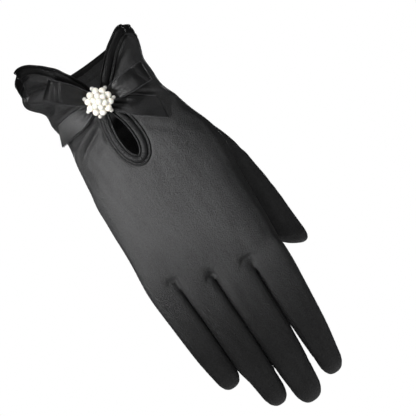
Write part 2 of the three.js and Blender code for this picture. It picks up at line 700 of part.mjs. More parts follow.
function tailSolid({ angle, length, cut }) {
  const start = 0.1;
  const rings = Array.from({ length: TAIL_STEPS + 1 }, (_, i) => {
    const share = start + ((1 - start) * i) / TAIL_STEPS;
    const spread = THREE.MathUtils.lerp(0.42, 1, THREE.MathUtils.smoothstep(share, 0, 0.6));
    const slant = (cut / 2) * RIBBON_WIDTH * share ** 4;
    const along = share * length * BOW_REACH;
    const half = (spread * RIBBON_WIDTH) / 2;
    const place = (side, lift) => ribbonPlace(angle, along + slant * side, side * half, lift);
    return [
      ...ACROSS_TAIL.map((side) => place(side, TAIL_LIFT)),
      ...ACROSS_TAIL.map((side) => place(-side, TAIL_LIFT + RIBBON_THICKNESS)),
    ];
  });
  return loftSolid(rings);
}

// A loop is a hoop of ribbon: each ring is the ribbon's section, as wide as the table says.
function loopSolid({ angle, length }) {
  const path = LOOP_PROFILE.map((row) => ({
    along: row.along * length * BOW_REACH,
    lift: LOOP_LIFT + RIBBON_THICKNESS / 2 + row.lift * LOOP_HEIGHT,
    half: (row.width * RIBBON_WIDTH) / 2,
  }));
  const rings = path.map((here, i) => {
    const before = path[(i + path.length - 1) % path.length];
    const after = path[(i + 1) % path.length];
    const run = new THREE.Vector2(after.along - before.along, after.lift - before.lift).normalize();
    const place = (side, out) => {
      const along = here.along - (run.y * out * RIBBON_THICKNESS) / 2;
      const lift = here.lift + (run.x * out * RIBBON_THICKNESS) / 2;
      return ribbonPlace(angle, along, side * here.half, lift);
    };
    return [...ACROSS_LOOP.map((side) => place(side, -1)), ...ACROSS_LOOP.map((side) => place(-side, 1))];
  });
  return loftSolid(rings, true);
}

// The pearl cluster, on the bow's middle

const CLUSTER_LIFT = LOOP_LIFT + RIBBON_THICKNESS + LOOP_PINCH * LOOP_HEIGHT + LAYER_GAP;
const BACKING_RADIUS = BACKING_PROFILE[0].radius * CLUSTER_DIAMETER;

// The backing's foot lies clear of the bow all round its rim.
const CLUSTER_Y = Math.min(
  ...Array.from({ length: 24 }, (_, i) => {
    const angle = (2 * PI * i) / 24;
    return onBack(BACKING_RADIUS * sin(angle), BACKING_RADIUS * cos(angle), CLUSTER_LIFT).y;
  }),
);

function backingGeometry() {
  const top = BACKING_PROFILE.at(-1).lift + 0.012;
  const outline = [{ radius: 0, lift: 0 }, ...BACKING_PROFILE, { radius: 0, lift: top }].map(
    (row) => new THREE.Vector2(row.radius * CLUSTER_DIAMETER, row.lift * CLUSTER_DIAMETER),
  );
  return new THREE.LatheGeometry(outline, 16).rotateX(PI);
}

// Materials

const satin = new THREE.MeshStandardMaterial({ color: 0x1b1b1d, roughness: 0.42, metalness: 0 });
const binding = new THREE.MeshStandardMaterial({ color: 0x121214, roughness: 0.38, metalness: 0 });
const ribbon = new THREE.MeshStandardMaterial({ color: 0x19191b, roughness: 0.3, metalness: 0 });
const pearl = new THREE.MeshStandardMaterial({ color: 0xf3eedc, roughness: 0.18, metalness: 0 });
const backing = new THREE.MeshStandardMaterial({ color: 0xdcd6c2, roughness: 0.6, metalness: 0 });

const glove = new THREE.Group();

function add(name, geometry, material, group = glove) {
  const mesh = new THREE.Mesh(geometry, material);
  mesh.name = name;
  group.add(mesh);
  return mesh;
}

add("back_panel", toGeometry(mainBody(cover.intersect(backHalf).subtract(fourchetteSpace))), satin);
add("palm_panel", toGeometry(mainBody(cover.intersect(palmHalf).subtract(fourchetteSpace))), satin);
for (const [one, other] of pairs) {
  const strip = mainBody(cover.intersect(fourchetteZone(one, other, -SEAM_GAP / 2)));
  add(`fourchette_${other.name}_${one.name}`, toGeometry(strip), satin);
}
add("thumb", toGeometry(mainBody(thumb)), satin);
add("edge_binding", toGeometry(bandSolid(bindingSection)), binding);
for (const tail of TAILS) add(tail.name, toGeometry(tailSolid(tail)), ribbon);
for (const loop of LOOPS) add(loop.name, toGeometry(loopSolid(loop)), ribbon);

const cluster = new THREE.Group();
cluster.position.set(0, CLUSTER_Y, 0);
glove.add(cluster);
add("pearl_backing", backingGeometry(), backing, cluster);
for (const row of PEARL_RINGS_TABLE) {
  for (let i = 0; i < row.count; i++) {
    const angle = (2 * PI * (i + row.turn)) / row.count;
    const radius = (row.diameter * CLUSTER_DIAMETER) / 2;
    const ball = new THREE.SphereGeometry(radius, PEARL_SIDES, PEARL_RINGS);
    const bead = add(`${row.name}_${i + 1}`, ball, pearl, cluster);
    const out = row.radius * CLUSTER_DIAMETER;
    bead.position.set(out * sin(angle), -row.lift * CLUSTER_DIAMETER, out * cos(angle));
  }
}

export default glove;
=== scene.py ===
"""A wrist-length dress glove in black satin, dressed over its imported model.

The cloth is built from the same sections as the solids, joined into one skin, creased, cut along its seams
into the panels and given its thickness. Sizes are millimetres until a mesh is made. The frame is in metres.
"""

import math
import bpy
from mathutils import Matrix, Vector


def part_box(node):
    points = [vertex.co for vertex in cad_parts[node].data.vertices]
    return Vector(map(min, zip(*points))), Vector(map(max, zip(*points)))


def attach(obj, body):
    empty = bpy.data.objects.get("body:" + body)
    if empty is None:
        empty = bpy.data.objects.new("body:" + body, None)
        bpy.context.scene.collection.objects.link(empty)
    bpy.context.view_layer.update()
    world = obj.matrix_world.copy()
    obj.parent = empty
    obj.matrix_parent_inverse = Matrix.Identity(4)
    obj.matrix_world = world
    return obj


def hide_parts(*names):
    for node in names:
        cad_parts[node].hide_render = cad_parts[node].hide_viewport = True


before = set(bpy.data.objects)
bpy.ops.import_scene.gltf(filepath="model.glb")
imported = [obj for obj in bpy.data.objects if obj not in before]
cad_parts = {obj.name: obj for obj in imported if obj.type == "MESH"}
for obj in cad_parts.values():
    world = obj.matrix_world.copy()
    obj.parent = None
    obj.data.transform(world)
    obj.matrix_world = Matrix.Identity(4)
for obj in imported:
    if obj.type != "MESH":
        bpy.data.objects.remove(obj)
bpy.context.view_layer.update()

from types import SimpleNamespace

import bpy
import numpy as np
from mathutils import Matrix, Vector, noise
from mathutils.kdtree import KDTree

MM = 0.001
DEG = math.pi / 180
RNG = np.random.default_rng(7)

# Sizes of the glove, as in the part

WALL = 1.0
PALM_LENGTH, PALM_DEPTH = 101.0, 26.0
WRIST_WIDTH, WRIST_DEPTH = 56.0, 38.0
CUFF_HEIGHT, CUFF_WIDTH, CUFF_DEPTH = 36.0, 65.0, 50.0
RUFFLE_HEIGHT, RUFFLE_COUNT = 2.4, 7
KEYHOLE_LENGTH, KEYHOLE_WIDTH, KEYHOLE_SHIFT = 35.2, 12.2, 1.1
RIBBON_WIDTH = 10.8
LOOP_HEIGHT = 5.2
KNUCKLE_SLANT = 0.33
SQUARENESS = 2.2
FINGER_DOME, THUMB_DOME = 0.14, 0.13
FOURCHETTE_WIDTH = 6.6
DRAPE_LIMIT = 0.68
TAIL_LIFT = 1.2
LOOP_LIFT = 2.6

# Sizes that only the dressed model has. Places across the binding count from its middle line.

CLOTH_WALL = 0.7
RIBBON_WALL = 0.4
RIBBON_HALF = RIBBON_WIDTH / 2 - 0.45
SKIN_TOP = 43.2
FAR_AWAY = 99.0
RIM_END = -1.95
STITCH_PITCH, STITCH_LENGTH = 1.7, 1.15
PICOT_PITCH = 0.95
BEAD_HOLE = 0.16

# Camera and stage: the roll is in degrees, the aim and the frame's width in millimetres, the rest in metres

CAMERA_ROLL, CAMERA_AIM, FRAME_WIDTH = 34.8, (14.2, -5, -74), 208
FLOOR_RADIUS, FLOOR_HEIGHT, FLOOR_SIDES = 0.8, -0.6, 96
GLOVE_MIDDLE = (0.005, 0, -0.07)
WHITE = (1, 1, 1, 1)

# The form's tables, as in the part

FINGER_WIDTH, FINGER_DEPTH, FINGER_LENGTH = 19.0, 18.4, 81.0
# name, width, depth, length, drift, taper
FINGERS = [
    ("little", 0.79, 0.848, 0.79, 0.074, 0),
    ("ring", 0.874, 0.935, 0.975, 0.01, 0),
    ("middle", 1, 1, 1, -0.18, 0),
    ("index", 0.974, 0.978, 0.854, -0.295, 0.14),
]
FINGER_GAP = 0.5
KNUCKLE_WIDTH = sum(f[1] for f in FINGERS) * FINGER_WIDTH + 3 * FINGER_GAP
LITTLE_EDGE = -0.502 * KNUCKLE_WIDTH
FINGERTIP_Z = -(PALM_LENGTH + FINGER_LENGTH)
THUMB_WIDTH, THUMB_DEPTH, THUMB_LENGTH, THUMB_START = 20.5, 18.5, 90.5, 0.235
THUMB_ROOT = -THUMB_START * PALM_LENGTH

# at, width, side, depth, slant, square
PALM_SECTIONS = [
    (0.96, 0.9, 0.004, 1.5, 1.0, 3.2),
    (0.9, 0.93, 0.01, 1.28, 0.9, 2.8),
    (0.82, 0.96, 0.021, 1.04, 0.76, 2.5),
    (0.73, 1.0, 0.03, 0.84, 0.46, 2.3),
    (0.62, 1.06, 0.042, 0.6, 0.2, 2.2),
    (0.51, 1.16, 0.062, 0.36, 0.05, 2.2),
    (0.42, 1.1, 0.063, 0.2, 0, 2.2),
    (0.35, 0.88, 0.06, 0.1, 0, 2.2),
    (0.28, 0.63, 0.05, 0.04, 0, 2.2),
    (0.18, 0.31, 0.043, 0, 0, 2.2),
    (0.085, 0.0, 0.036, 0, 0, 2.2),
]
# at, width, side, depth
CUFF_SECTIONS = [
    (0.0, 0.14, 0.036, 0),
    (0.1, 0.26, 0.035, 0.05),
    (0.22, 0.32, 0.038, 0.22),
    (0.33, 0.54, 0.036, 0.5),
    (0.44, 0.92, 0.024, 0.76),
    (0.55, 1.12, 0.014, 0.93),
    (0.68, 0.84, 0.02, 1.0),
    (0.85, 0.72, 0.032, 1.02),
    (1.2, 0.72, 0.034, 1.06),
]
# share of the way to the fingertips, lean
MIDLINE = [
    (-0.3, 0), (0, 0), (0.25, -0.01), (0.4, -0.04), (0.5, -0.055), (0.6, -0.03), (0.75, 0.08),
    (0.88, 0.22), (1.05, 0.42),
]
# at, width, depth
FINGER_SECTIONS = [
    (-0.2, 0.8, 0.7), (0, 1, 1), (0.34, 0.99, 0.94), (0.6, 0.95, 0.88), (0.74, 0.88, 0.82),
    (0.86, 0.79, 0.74),
]
# at, width, depth, side, palm, slant
THUMB_SECTIONS = [
    (0, 0.84, 0.8, 0.325, 0.12, 0),
    (0.12, 1.04, 1.0, 0.38, 0.26, 0),
    (0.25, 1.1, 1.04, 0.44, 0.43, 0),
    (0.37, 1.04, 1.02, 0.489, 0.6, 0),
    (0.51, 0.98, 1.0, 0.522, 0.74, 0.05),
    (0.66, 0.96, 0.98, 0.542, 0.81, 0.15),
    (0.78, 0.94, 0.92, 0.547, 0.84, 0.3),
    (0.87, 0.9, 0.82, 0.555, 0.86, 0.45),
    (1, 0.7, 0.6, 0.58, 0.88, 0.6),
]
# turns, heights (shares), width, rise
FOLDS = [
    ((-24, -72), (-0.11, -0.2), 0.08, 0.5),
    ((-34, -66), (-0.2, -0.29), 0.08, -0.45),
    ((26, 74), (-0.05, -0.17), 0.08, 0.45),
    ((28, 60), (-0.22, -0.34), 0.08, -0.35),
    ((166, 194), (-0.55, -0.72), 0.24, -0.85),
    ((-96, -62), (0.3, 0.34), 0.08, -0.6),
    ((62, 104), (0.16, 0.14), 0.08, -0.45),
    ((140, 214), (0.12, 0.1), 0.1, -0.7),
]
# The binding's middle line on both wings of the cuff: side, height
THUMB_WING_EDGE = [
    (0.07, 0.03), (0.1, 0.12), (0.135, 0.21), (0.175, 0.286), (0.23, 0.384), (0.298, 0.492),
    (0.349, 0.556), (0.398, 0.611), (0.435, 0.642),
]
LITTLE_WING_EDGE = [
    (0.031, 0.03), (0.045, 0.23), (0.072, 0.364), (0.112, 0.506), (0.151, 0.636), (0.198, 0.742),
    (0.249, 0.839), (0.306, 0.918), (0.358, 0.945), (0.398, 0.938),
]
# The same on the palm side: turn, height
PALM_CUFF_EDGE = [
    (76, 0.63), (98, 0.59), (125, 0.54), (152, 0.51), (180, 0.49), (207, 0.52), (232, 0.6),
    (254, 0.74), (271, 0.85), (285, 0.91),
]
# The same beside the keyhole: along, half width
KEYHOLE_SIDE = [
    (0.1, 0.5), (0.22, 0.6), (0.37, 0.83), (0.53, 0.98), (0.67, 1), (0.8, 0.92), (0.91, 0.68),
    (0.98, 0.33),
]
# along, lift, width
LOOP_PROFILE = [
    (0.07, 0, 0.5), (0.25, 0, 0.66), (0.5, 0, 0.94), (0.75, 0.02, 1), (0.92, 0.1, 1), (1, 0.42, 1),
    (0.93, 0.78, 1), (0.76, 0.98, 1), (0.56, 1, 0.96), (0.37, 0.74, 0.8), (0.22, 0.36, 0.64),
    (0.07, 0.28, 0.48),
]
BOW_REACH = 31.7
# name, angle, length, and the slant of a tail's cut end
LOOPS = [("bow_loop_thumb_side", -0.5, 0.883), ("bow_loop_little_side", 132.7, 0.855)]
TAILS = [
    ("bow_tail_thumb_side", -39.0, 1.0, -0.583),
    ("bow_tail_little_side", 185.5, 0.826, 0.5),
]


# Camera and stage


def add_object(name, data):
    made = bpy.data.objects.new(name, data)
    bpy.context.scene.collection.objects.link(made)
    return made


def camera():
    data = bpy.data.cameras.new("camera")
    data.lens = 400
    data.sensor_width = 36
    data.clip_end = 20
    cam = add_object("camera", data)
    roll = math.radians(CAMERA_ROLL)
    right = Vector((math.cos(roll), 0, -math.sin(roll)))
    up = Vector((math.sin(roll), 0, math.cos(roll)))
    back = Vector((0, -1, 0))
    aim = Vector(CAMERA_AIM) * MM
    distance = data.lens / data.sensor_width * FRAME_WIDTH * MM
    turn = Matrix((right, up, back)).transposed().to_4x4()
    cam.matrix_world = Matrix.Translation(aim + back * distance) @ turn
    bpy.context.scene.camera = cam


def node_material(name):
    material = bpy.data.materials.new(name)
    material.use_nodes = True
    tree = material.node_tree
    shader = tree.nodes["Principled BSDF"]
    return material, tree, shader


def fill(tree, node, inputs):
    """Sets a node's inputs, each to a value or to a link from another node's output."""
    for name, value in inputs.items():
        if isinstance(value, bpy.types.NodeSocket):
            tree.links.new(value, node.inputs[name])
        else:
            node.inputs[name].default_value = value


def new_node(tree, kind, inputs):
    node = tree.nodes.new("ShaderNode" + kind)
    fill(tree, node, inputs)
    return node


def lamp(name, kind, place, target, power):
    light = bpy.data.lights.new(name, kind)
    light.energy = power
    holder = add_object(name, light)
    holder.location = place
    holder.rotation_euler = (Vector(target) - Vector(place)).to_track_quat("-Z", "Y").to_euler()
    holder.visible_camera = False
    return light


def area(name, place, size, power):
    light = lamp(name, "AREA", place, GLOVE_MIDDLE, power)
    light.shape = "RECTANGLE"
    light.size, light.size_y = size


def spot(name, place, target, power, cone, blend, size):
    light = lamp(name, "SPOT", place, target, power)
    light.shadow_soft_size = size
    light.spot_size = math.radians(cone)
    light.spot_blend = blend


def floor():
    angles = np.arange(FLOOR_SIDES) * 2 * math.pi / FLOOR_SIDES
    rim = [FLOOR_RADIUS * np.cos(angles), FLOOR_RADIUS * np.sin(angles), np.full(FLOOR_SIDES, FLOOR_HEIGHT)]
    mesh = bpy.data.meshes.new("floor")
    mesh.from_pydata(np.stack(rim, -1).tolist(), [], [list(range(FLOOR_SIDES))])
    piece = add_object("floor", mesh)
    material, tree, shader = node_material("floor_paper")
    fibre = link_noise(tree, 900, 3, 0.6)
    fill(tree, shader, {
        "Base Color": ramp(tree, fibre, [(0.3, 0.84), (0.7, 0.88)]),
        "Roughness": 0.9,
        "Specular IOR Level": 0.1,
        "Emission Color": WHITE,
        "Emission Strength": 0.3,
    })
    mesh.materials.append(material)


def stage():
    """A pale floor, and a world that is white to the camera and dim as a light."""
    floor()
    world = bpy.data.worlds.new("studio")
    bpy.context.scene.world = world
    world.use_nodes = True
    tree = world.node_tree
    tree.nodes.clear()
    path = new_node(tree, "LightPath", {})
    lit = new_node(tree, "Background", {"Strength": 0.022, "Color": WHITE})
    seen = new_node(tree, "Background", {"Strength": 1.0, "Color": WHITE})
    to_camera = path.outputs["Is Camera Ray"]
    mix = new_node(tree, "MixShader", {0: to_camera, 1: lit.outputs[0], 2: seen.outputs[0]})
    new_node(tree, "OutputWorld", {0: mix.outputs[0]})
    bpy.context.scene.view_settings.view_transform = "Standard"
    bpy.context.scene.view_settings.look = "None"

    area("key", (-0.2, -2.6, 0.3), (1.6, 1.6), 7)
    area("top", (0.9, -1.2, 2.1), (1.0, 1.0), 5)
    area("fill_left", (-2.4, -1.0, 0.0), (0.8, 2.0), 3.2)
    area("fill_right", (2.4, -0.8, 0.2), (0.8, 2.0), 2.8)
    area("back_key", (0.0, 2.6, 0.5), (1.6, 1.6), 40)
    # One spot lights the palm of the back, one the pearls.
    spot("pool", (-0.72, -0.82, 0.12), (-0.001, -0.015, -0.051), 84, 7.1, 0.6, 0.035)
    spot("sparkle", (0.55, -0.85, 0.8), (0.0, -0.02, 0.004), 26, 4.6, 0.8, 0.02)


# Helpers for tables and forms


def column(rows, index):
    """A smooth function from a table's first column to another one, the same as in the part."""
    places = np.array([row[0] for row in rows], float)
    values = np.array([row[index] for row in rows], float)
    last = len(places) - 1

    def at(where):
        t = np.clip(np.asarray(where, float), places[0], places[-1])
        i1 = np.clip(np.searchsorted(places, t, side="right"), 1, last)
        i0 = i1 - 1
        before = np.where(i0 > 0, i0 - 1, i1)
        after = np.where(i1 < last, np.minimum(i1 + 1, last), i0)
        start, end = places[i0], places[i1]
        half = (end - start) / 2
        back = half / (start - places[before])
        ahead = half / (places[after] - end)
        p = (t - start) / (end - start)
        return (
            (-back * p**3 + 2 * back * p**2 - back * p) * values[before]
            + ((1 + back) * p**3 + (-1.5 - 2 * back) * p**2 + (-0.5 + back) * p + 1) * values[i0]
            + ((-1 - ahead) * p**3 + (1.5 + ahead) * p**2 + 0.5 * p) * values[i1]
            + (ahead * p**3 - ahead * p**2) * values[after]
        )

    return at


def lerp(a, b, share):
    return a + (b - a) * share


def smoothstep(value, low, high):
    t = np.clip((value - low) / (high - low), 0, 1)
    return t * t * (3 - 2 * t)


def power(value, exponent):
    return np.sign(value) * np.abs(value) ** exponent


lean_at = column(MIDLINE, 1)


def midline_y(z):
    return PALM_DEPTH * lean_at(np.asarray(z) / FINGERTIP_Z)


def tube_row(z, wide, deep, width, side, depth, slant=0, square=SQUARENESS):
    half_x = lerp(WRIST_WIDTH, wide, width) / 2
    half_y = lerp(WRIST_DEPTH, deep, depth) / 2
    return z, half_x, side * wide, half_y, slant * KNUCKLE_SLANT, square


TUBE_ROWS = [
    *[tube_row(-at * PALM_LENGTH, KNUCKLE_WIDTH, PALM_DEPTH, *row) for at, *row in PALM_SECTIONS],
    *[tube_row(at * CUFF_HEIGHT, CUFF_WIDTH, CUFF_DEPTH, *row) for at, *row in CUFF_SECTIONS],
]
half_width = column(TUBE_ROWS, 1)
tube_middle = column(TUBE_ROWS, 2)
half_depth = column(TUBE_ROWS, 3)
tube_slant = column(TUBE_ROWS, 4)
tube_square = column(TUBE_ROWS, 5)


def near_segment(u, v, start, end):
    """Distance to a segment and the share of the way along it."""
    (u0, v0), (u1, v1) = start, end
    length = (u1 - u0) ** 2 + (v1 - v0) ** 2
    share = np.clip(((u - u0) * (u1 - u0) + (v - v0) * (v1 - v0)) / length, 0, 1)
    return np.hypot(u - u0 - share * (u1 - u0), v - v0 - share * (v1 - v0)), share


def bell(value, width):
    """A hump of height 1 over 0."""
    return np.exp(-((value / width) ** 2))


def arch(value, middle, half):
    """A parabola of height 1 over a middle, and 0 beyond half its width."""
    return np.clip(1 - ((value - middle) / half) ** 2, 0, 1)


def unit(ways):
    return ways / np.linalg.norm(ways, axis=1)[:, None]


def distances(points):
    """The way from a line's first point to each of its points."""
    return np.concatenate([[0], np.cumsum(np.linalg.norm(np.diff(points, axis=0), axis=1))])


def along_line(where, far, values):
    return np.stack([np.interp(where, far, values[:, k]) for k in range(values.shape[1])], -1)


def nearest_tree(points):
    tree = KDTree(len(points))
    for k, p in enumerate(points):
        tree.insert(Vector(p), k)
    tree.balance()
    return tree


def relief(turn, z):
    out = RUFFLE_HEIGHT * smoothstep(z / CUFF_HEIGHT, 0.1, 1) * np.cos(RUFFLE_COUNT * turn * DEG)
    reach = WRIST_WIDTH / 2
    for turns, ups, width, rise in FOLDS:
        ends = [(t * DEG * reach, up * (CUFF_HEIGHT if up > 0 else PALM_LENGTH)) for t, up in zip(turns, ups)]
        for lap in (-360, 0, 360):
            away, _ = near_segment((turn + lap) * DEG * reach, z, *ends)
            out = out + rise * RUFFLE_HEIGHT * bell(away, width * WRIST_WIDTH)
    return out


def tube_point(turn, z, grow=0.0):
    turn, z = np.broadcast_arrays(np.asarray(turn, float), np.asarray(z, float))
    out = grow + relief(turn, z)
    bend = 2 / tube_square(z)
    x = tube_middle(z) + (half_width(z) + out) * power(np.sin(turn * DEG), bend)
    y = midline_y(z) - (half_depth(z) + out) * power(np.cos(turn * DEG), bend)
    return np.stack([x, y, z - tube_slant(z) * x], -1)


def turn_at(x, z, grow=0.0):
    x, z = np.broadcast_arrays(np.asarray(x, float), np.asarray(z, float))
    turn = np.zeros(x.shape)
    for _ in range(4):
        share = (x - tube_middle(z)) / (half_width(z) + grow + relief(turn, z))
        turn = np.arcsin(power(np.clip(share, -1, 1), tube_square(z) / 2)) / DEG
    return turn


def on_back(x, z, lift):
    return tube_point(turn_at(x, z, lift), z, lift)


def on_drape(x, z, lift):
    """A place over the back of the wrist, which leaves the cloth straight on beyond the drape limit."""
    middle = tube_middle(z)
    limit = DRAPE_LIMIT * half_width(z)
    reach = np.clip(x - middle, -limit, limit)
    near = on_back(middle + reach, z, lift)
    before = on_back(middle + 0.94 * reach, z, lift)
    run = near[..., 0] - before[..., 0]
    steep = np.abs(run) > 1e-6
    slope = np.where(steep, (near[..., 1] - before[..., 1]) / np.where(steep, run, 1), 0)
    beyond = x - middle - reach
    return np.stack([x, near[..., 1] + slope * beyond, near[..., 2]], -1)


def superellipse(angles, middle, half_x, half_y, slant, square):
    side = half_x * power(np.sin(angles), 2 / square)
    back = half_y * power(np.cos(angles), 2 / square)
    return np.stack([middle[0] + side, middle[1] - back, middle[2] - slant * side], -1)


def hand_rings():
    turns = np.arange(0, 360, 2.5)
    rings = []
    palm_end = PALM_SECTIONS[0][0] * PALM_LENGTH
    z = -palm_end
    end = tube_point(turns, z)
    centre = np.array([tube_middle(z), midline_y(z), z - tube_slant(z) * tube_middle(z)])
    # The palm's far end is rounded off inside the fingers.
    for angle in (84, 76, 66, 56, 45, 34, 23, 12):
        ring = centre + (end - centre) * math.cos(angle * DEG) ** 0.6
        ring[:, 2] -= (PALM_LENGTH - palm_end) * math.sin(angle * DEG)
        rings.append(ring)
    for z in np.arange(-palm_end, SKIN_TOP, 1.2):
        rings.append(tube_point(turns, z))
    return rings


def round_ended(shape_at, shares, dome, sides=56):
    """Rings of a tube with a round end. shape_at gives middle, half width, half depth, slant and square."""
    angles = np.arange(sides) * 2 * math.pi / sides
    rings = [superellipse(angles, *shape_at(share)) for share in shares]
    start, half_x, half_y, _, square = shape_at(1 - dome)
    height = start[2] - shape_at(1)[0][2]
    for angle in (10, 20, 30, 40, 50, 60, 70, 79, 86):
        middle, _, _, slant, _ = shape_at(1 - dome + dome * math.sin(angle * DEG))
        middle = np.array([middle[0], middle[1], start[2] - height * math.sin(angle * DEG)])
        shrink = math.cos(angle * DEG) ** 0.72
        rings.append(superellipse(angles, middle, half_x * shrink, half_y * shrink, slant, square))
    return rings


width_share = column(FINGER_SECTIONS, 1)
depth_share = column(FINGER_SECTIONS, 2)

fingers = []
edge = LITTLE_EDGE
for name, width, depth, length, drift, taper in FINGERS:
    finger = SimpleNamespace(name=name, taper=taper)
    finger.width = width * FINGER_WIDTH
    finger.depth = depth * FINGER_DEPTH
    finger.length = length * FINGER_LENGTH
    finger.drift = drift * FINGER_WIDTH
    finger.x = edge + finger.width / 2
    finger.root = -PALM_LENGTH - KNUCKLE_SLANT * finger.x
    fingers.append(finger)
    edge += finger.width + FINGER_GAP


# Height down to which each finger touches the next one, and half depth where it leaves the palm
TOUCH_END = [-149.9, -146.5, -142.0]
TOUCH_OVERLAP = 0.08
ROOT_DEPTH = [7.9, 9.6, 9.9, 9.0]


def finger_sides(finger, z):
    """A finger's two sides in the front view, before it is pressed against its neighbours."""
    ahead = max((finger.root - z) / finger.length, -0.2)
    x = finger.x + finger.drift * max(ahead, 0) ** 1.2
    half = finger.width / 2 * float(width_share(min(ahead, 1))) * (1 - finger.taper * max(ahead, 0))
    return x - half, x + half


def finger_shape(finger, share):
    z = finger.root - share * finger.length
    i = fingers.index(finger)
    sides = list(finger_sides(finger, z))
    # The cloth of neighbouring fingers touches down to TOUCH_END, where it overlaps a little.
    for k, near in ((0, i - 1), (1, i + 1)):
        if 0 <= near < len(fingers):
            touch = TOUCH_END[min(i, near)]
            press = float(smoothstep(z, touch - 9, touch + 1))
            line_x = (finger_sides(fingers[near], z)[1 - k] + sides[k]) / 2 + (2 * k - 1) * TOUCH_OVERLAP
            sides[k] += press * (line_x - sides[k])
    left, right = sides
    # The two joints stand out a little.
    joint = 0.2 * math.exp(-(((share - 0.37) / 0.07) ** 2)) + 0.14 * math.exp(-(((share - 0.68) / 0.06) ** 2))
    half_y = finger.depth / 2 * float(depth_share(max(share, 0))) + joint
    half_y += (ROOT_DEPTH[i] - finger.depth / 2) * float(1 - smoothstep(share, 0, 0.3)) + 9 * min(share, 0)
    square = lerp(4.2, 2.3, float(smoothstep(share, 0.4, 0.95)))
    return np.array([(left + right) / 2, float(midline_y(z)), z]), (right - left) / 2, half_y, 0.0, square


thumb_columns = [column(THUMB_SECTIONS, i) for i in range(1, 6)]


def thumb_shape(share):
    width, depth, side, palm, slant = (float(c(share)) for c in thumb_columns)
    z = THUMB_ROOT - share * THUMB_LENGTH
    middle = np.array([side * KNUCKLE_WIDTH, palm * PALM_DEPTH, z])
    return middle, THUMB_WIDTH / 2 * width, THUMB_DEPTH / 2 * depth, slant, SQUARENESS


def loft(rings, closed=False):
    """Points and faces of a surface through rings of points with the same number each."""
    sides, count = len(rings[0]), len(rings)
    points = np.concatenate(rings)
    i = np.arange(count if closed else count - 1)[:, None]
    j = np.arange(sides)[None, :]
    following, beside = (i + 1) % count, (j + 1) % sides
    corners = [i * sides + j, i * sides + beside, following * sides + beside, following * sides + j]
    faces = np.stack(corners, -1).reshape(-1, 4).tolist()
    if not closed:
        for ring, offset in ((0, 0), (count - 1, (count - 1) * sides)):
            points = np.vstack([points, rings[ring].mean(0)])
            tip = len(points) - 1
            for k in range(sides):
                pair = [offset + k, offset + (k + 1) % sides]
                faces.append([*(pair if ring else pair[::-1]), tip])
    return points, faces


def new_object(name, points, faces):
    mesh = bpy.data.meshes.new(name)
    mesh.from_pydata((np.asarray(points) * MM).tolist(), [], faces)
    mesh.validate()
    mesh.shade_smooth()
    return add_object(name, mesh)


def add_wall(piece, thickness, offset):
    wall = piece.modifiers.new("wall", "SOLIDIFY")
    wall.thickness = thickness * MM
    wall.offset = offset
    wall.use_rim = True


def upright(points, faces):
    """The faces turned so that the closed surface's normals point outwards."""
    volume = 0.0
    for first, *others in faces:
        for one, other in zip(others, others[1:]):
            volume += float(np.dot(points[first], np.cross(points[one], points[other])))
    return faces if volume > 0 else [list(reversed(face)) for face in faces]


def solid(rings, closed=False):
    points, faces = loft(rings, closed)
    return points, upright(points, faces)


def joined(parts):
    """Several pairs of points and faces as one."""
    points, faces, offset = [], [], 0
    for some, more in parts:
        points.append(np.asarray(some, float))
        faces += [[index + offset for index in face] for face in more]
        offset += len(some)
    return np.concatenate(points), faces


# The binding's middle line, as turns and heights


def binding_line(count):
    def on_front(rows):
        x, z = np.array(rows, float).T
        return np.stack([turn_at(x, z), z], -1)

    def keyhole(side):
        reach = side * KEYHOLE_WIDTH / 2
        return on_front([(KEYHOLE_SHIFT + half * reach, -at * KEYHOLE_LENGTH) for at, half in KEYHOLE_SIDE])

    bottom = on_front([(KEYHOLE_SHIFT, -KEYHOLE_LENGTH)])
    thumb_wing = on_front([(s * CUFF_WIDTH, u * CUFF_HEIGHT) for s, u in THUMB_WING_EDGE])
    little_wing = on_front([(-s * CUFF_WIDTH, u * CUFF_HEIGHT) for s, u in LITTLE_WING_EDGE])
    palm_side = np.array([(t, u * CUFF_HEIGHT) for t, u in PALM_CUFF_EDGE], float)
    lap = np.array([360.0, 0.0])
    once = [bottom, keyhole(1)[::-1], thumb_wing, palm_side]
    line = np.concatenate([*once, little_wing[::-1] + lap, keyhole(-1) + lap, bottom + lap])
    scale = np.array([DEG * WRIST_WIDTH / 2, 1.0])
    return resample(line * scale, count) / scale


def catmull_rom(points, per_span=16):
    """Centripetal Catmull-Rom through the points, open at both ends."""

    def mix(one, other, start, end, t):
        return one * (end - t) / (end - start) + other * (t - start) / (end - start)

    p = np.asarray(points, float)
    p = np.vstack([2 * p[0] - p[1], p, 2 * p[-1] - p[-2]])
    out = []
    for i in range(1, len(p) - 2):
        a, b, c, d = p[i - 1 : i + 3]
        ta = 0.0
        tb = ta + max(np.linalg.norm(b - a), 1e-6) ** 0.5
        tc = tb + max(np.linalg.norm(c - b), 1e-6) ** 0.5
        td = tc + max(np.linalg.norm(d - c), 1e-6) ** 0.5
        for t in np.linspace(tb, tc, per_span, endpoint=False):
            bc = mix(b, c, tb, tc, t)
            abc = mix(mix(a, b, ta, tb, t), bc, ta, tc, t)
            bcd = mix(bc, mix(c, d, tc, td, t), tb, td, t)
            out.append(mix(abc, bcd, tb, tc, t))
    out.append(p[-2])
    return np.array(out)


def resample(points, count):
    """A smooth line through the points in equal steps, with both ends kept."""
    line = catmull_rom(points)
    far = distances(line)
    return along_line(np.linspace(0, far[-1], count), far, line)


def in_polygon(u, v, polygon):
    inside = np.zeros(u.shape, bool)
    for (u0, v0), (u1, v1) in zip(polygon, np.roll(polygon, -1, 0)):
        if v0 == v1:
            continue
        crosses = (v0 > v) != (v1 > v)
        inside ^= crosses & (u < (u1 - u0) * (v - v0) / (v1 - v0) + u0)
    return inside


# The cloth skin: all forms joined, smoothed, creased and sorted into panels

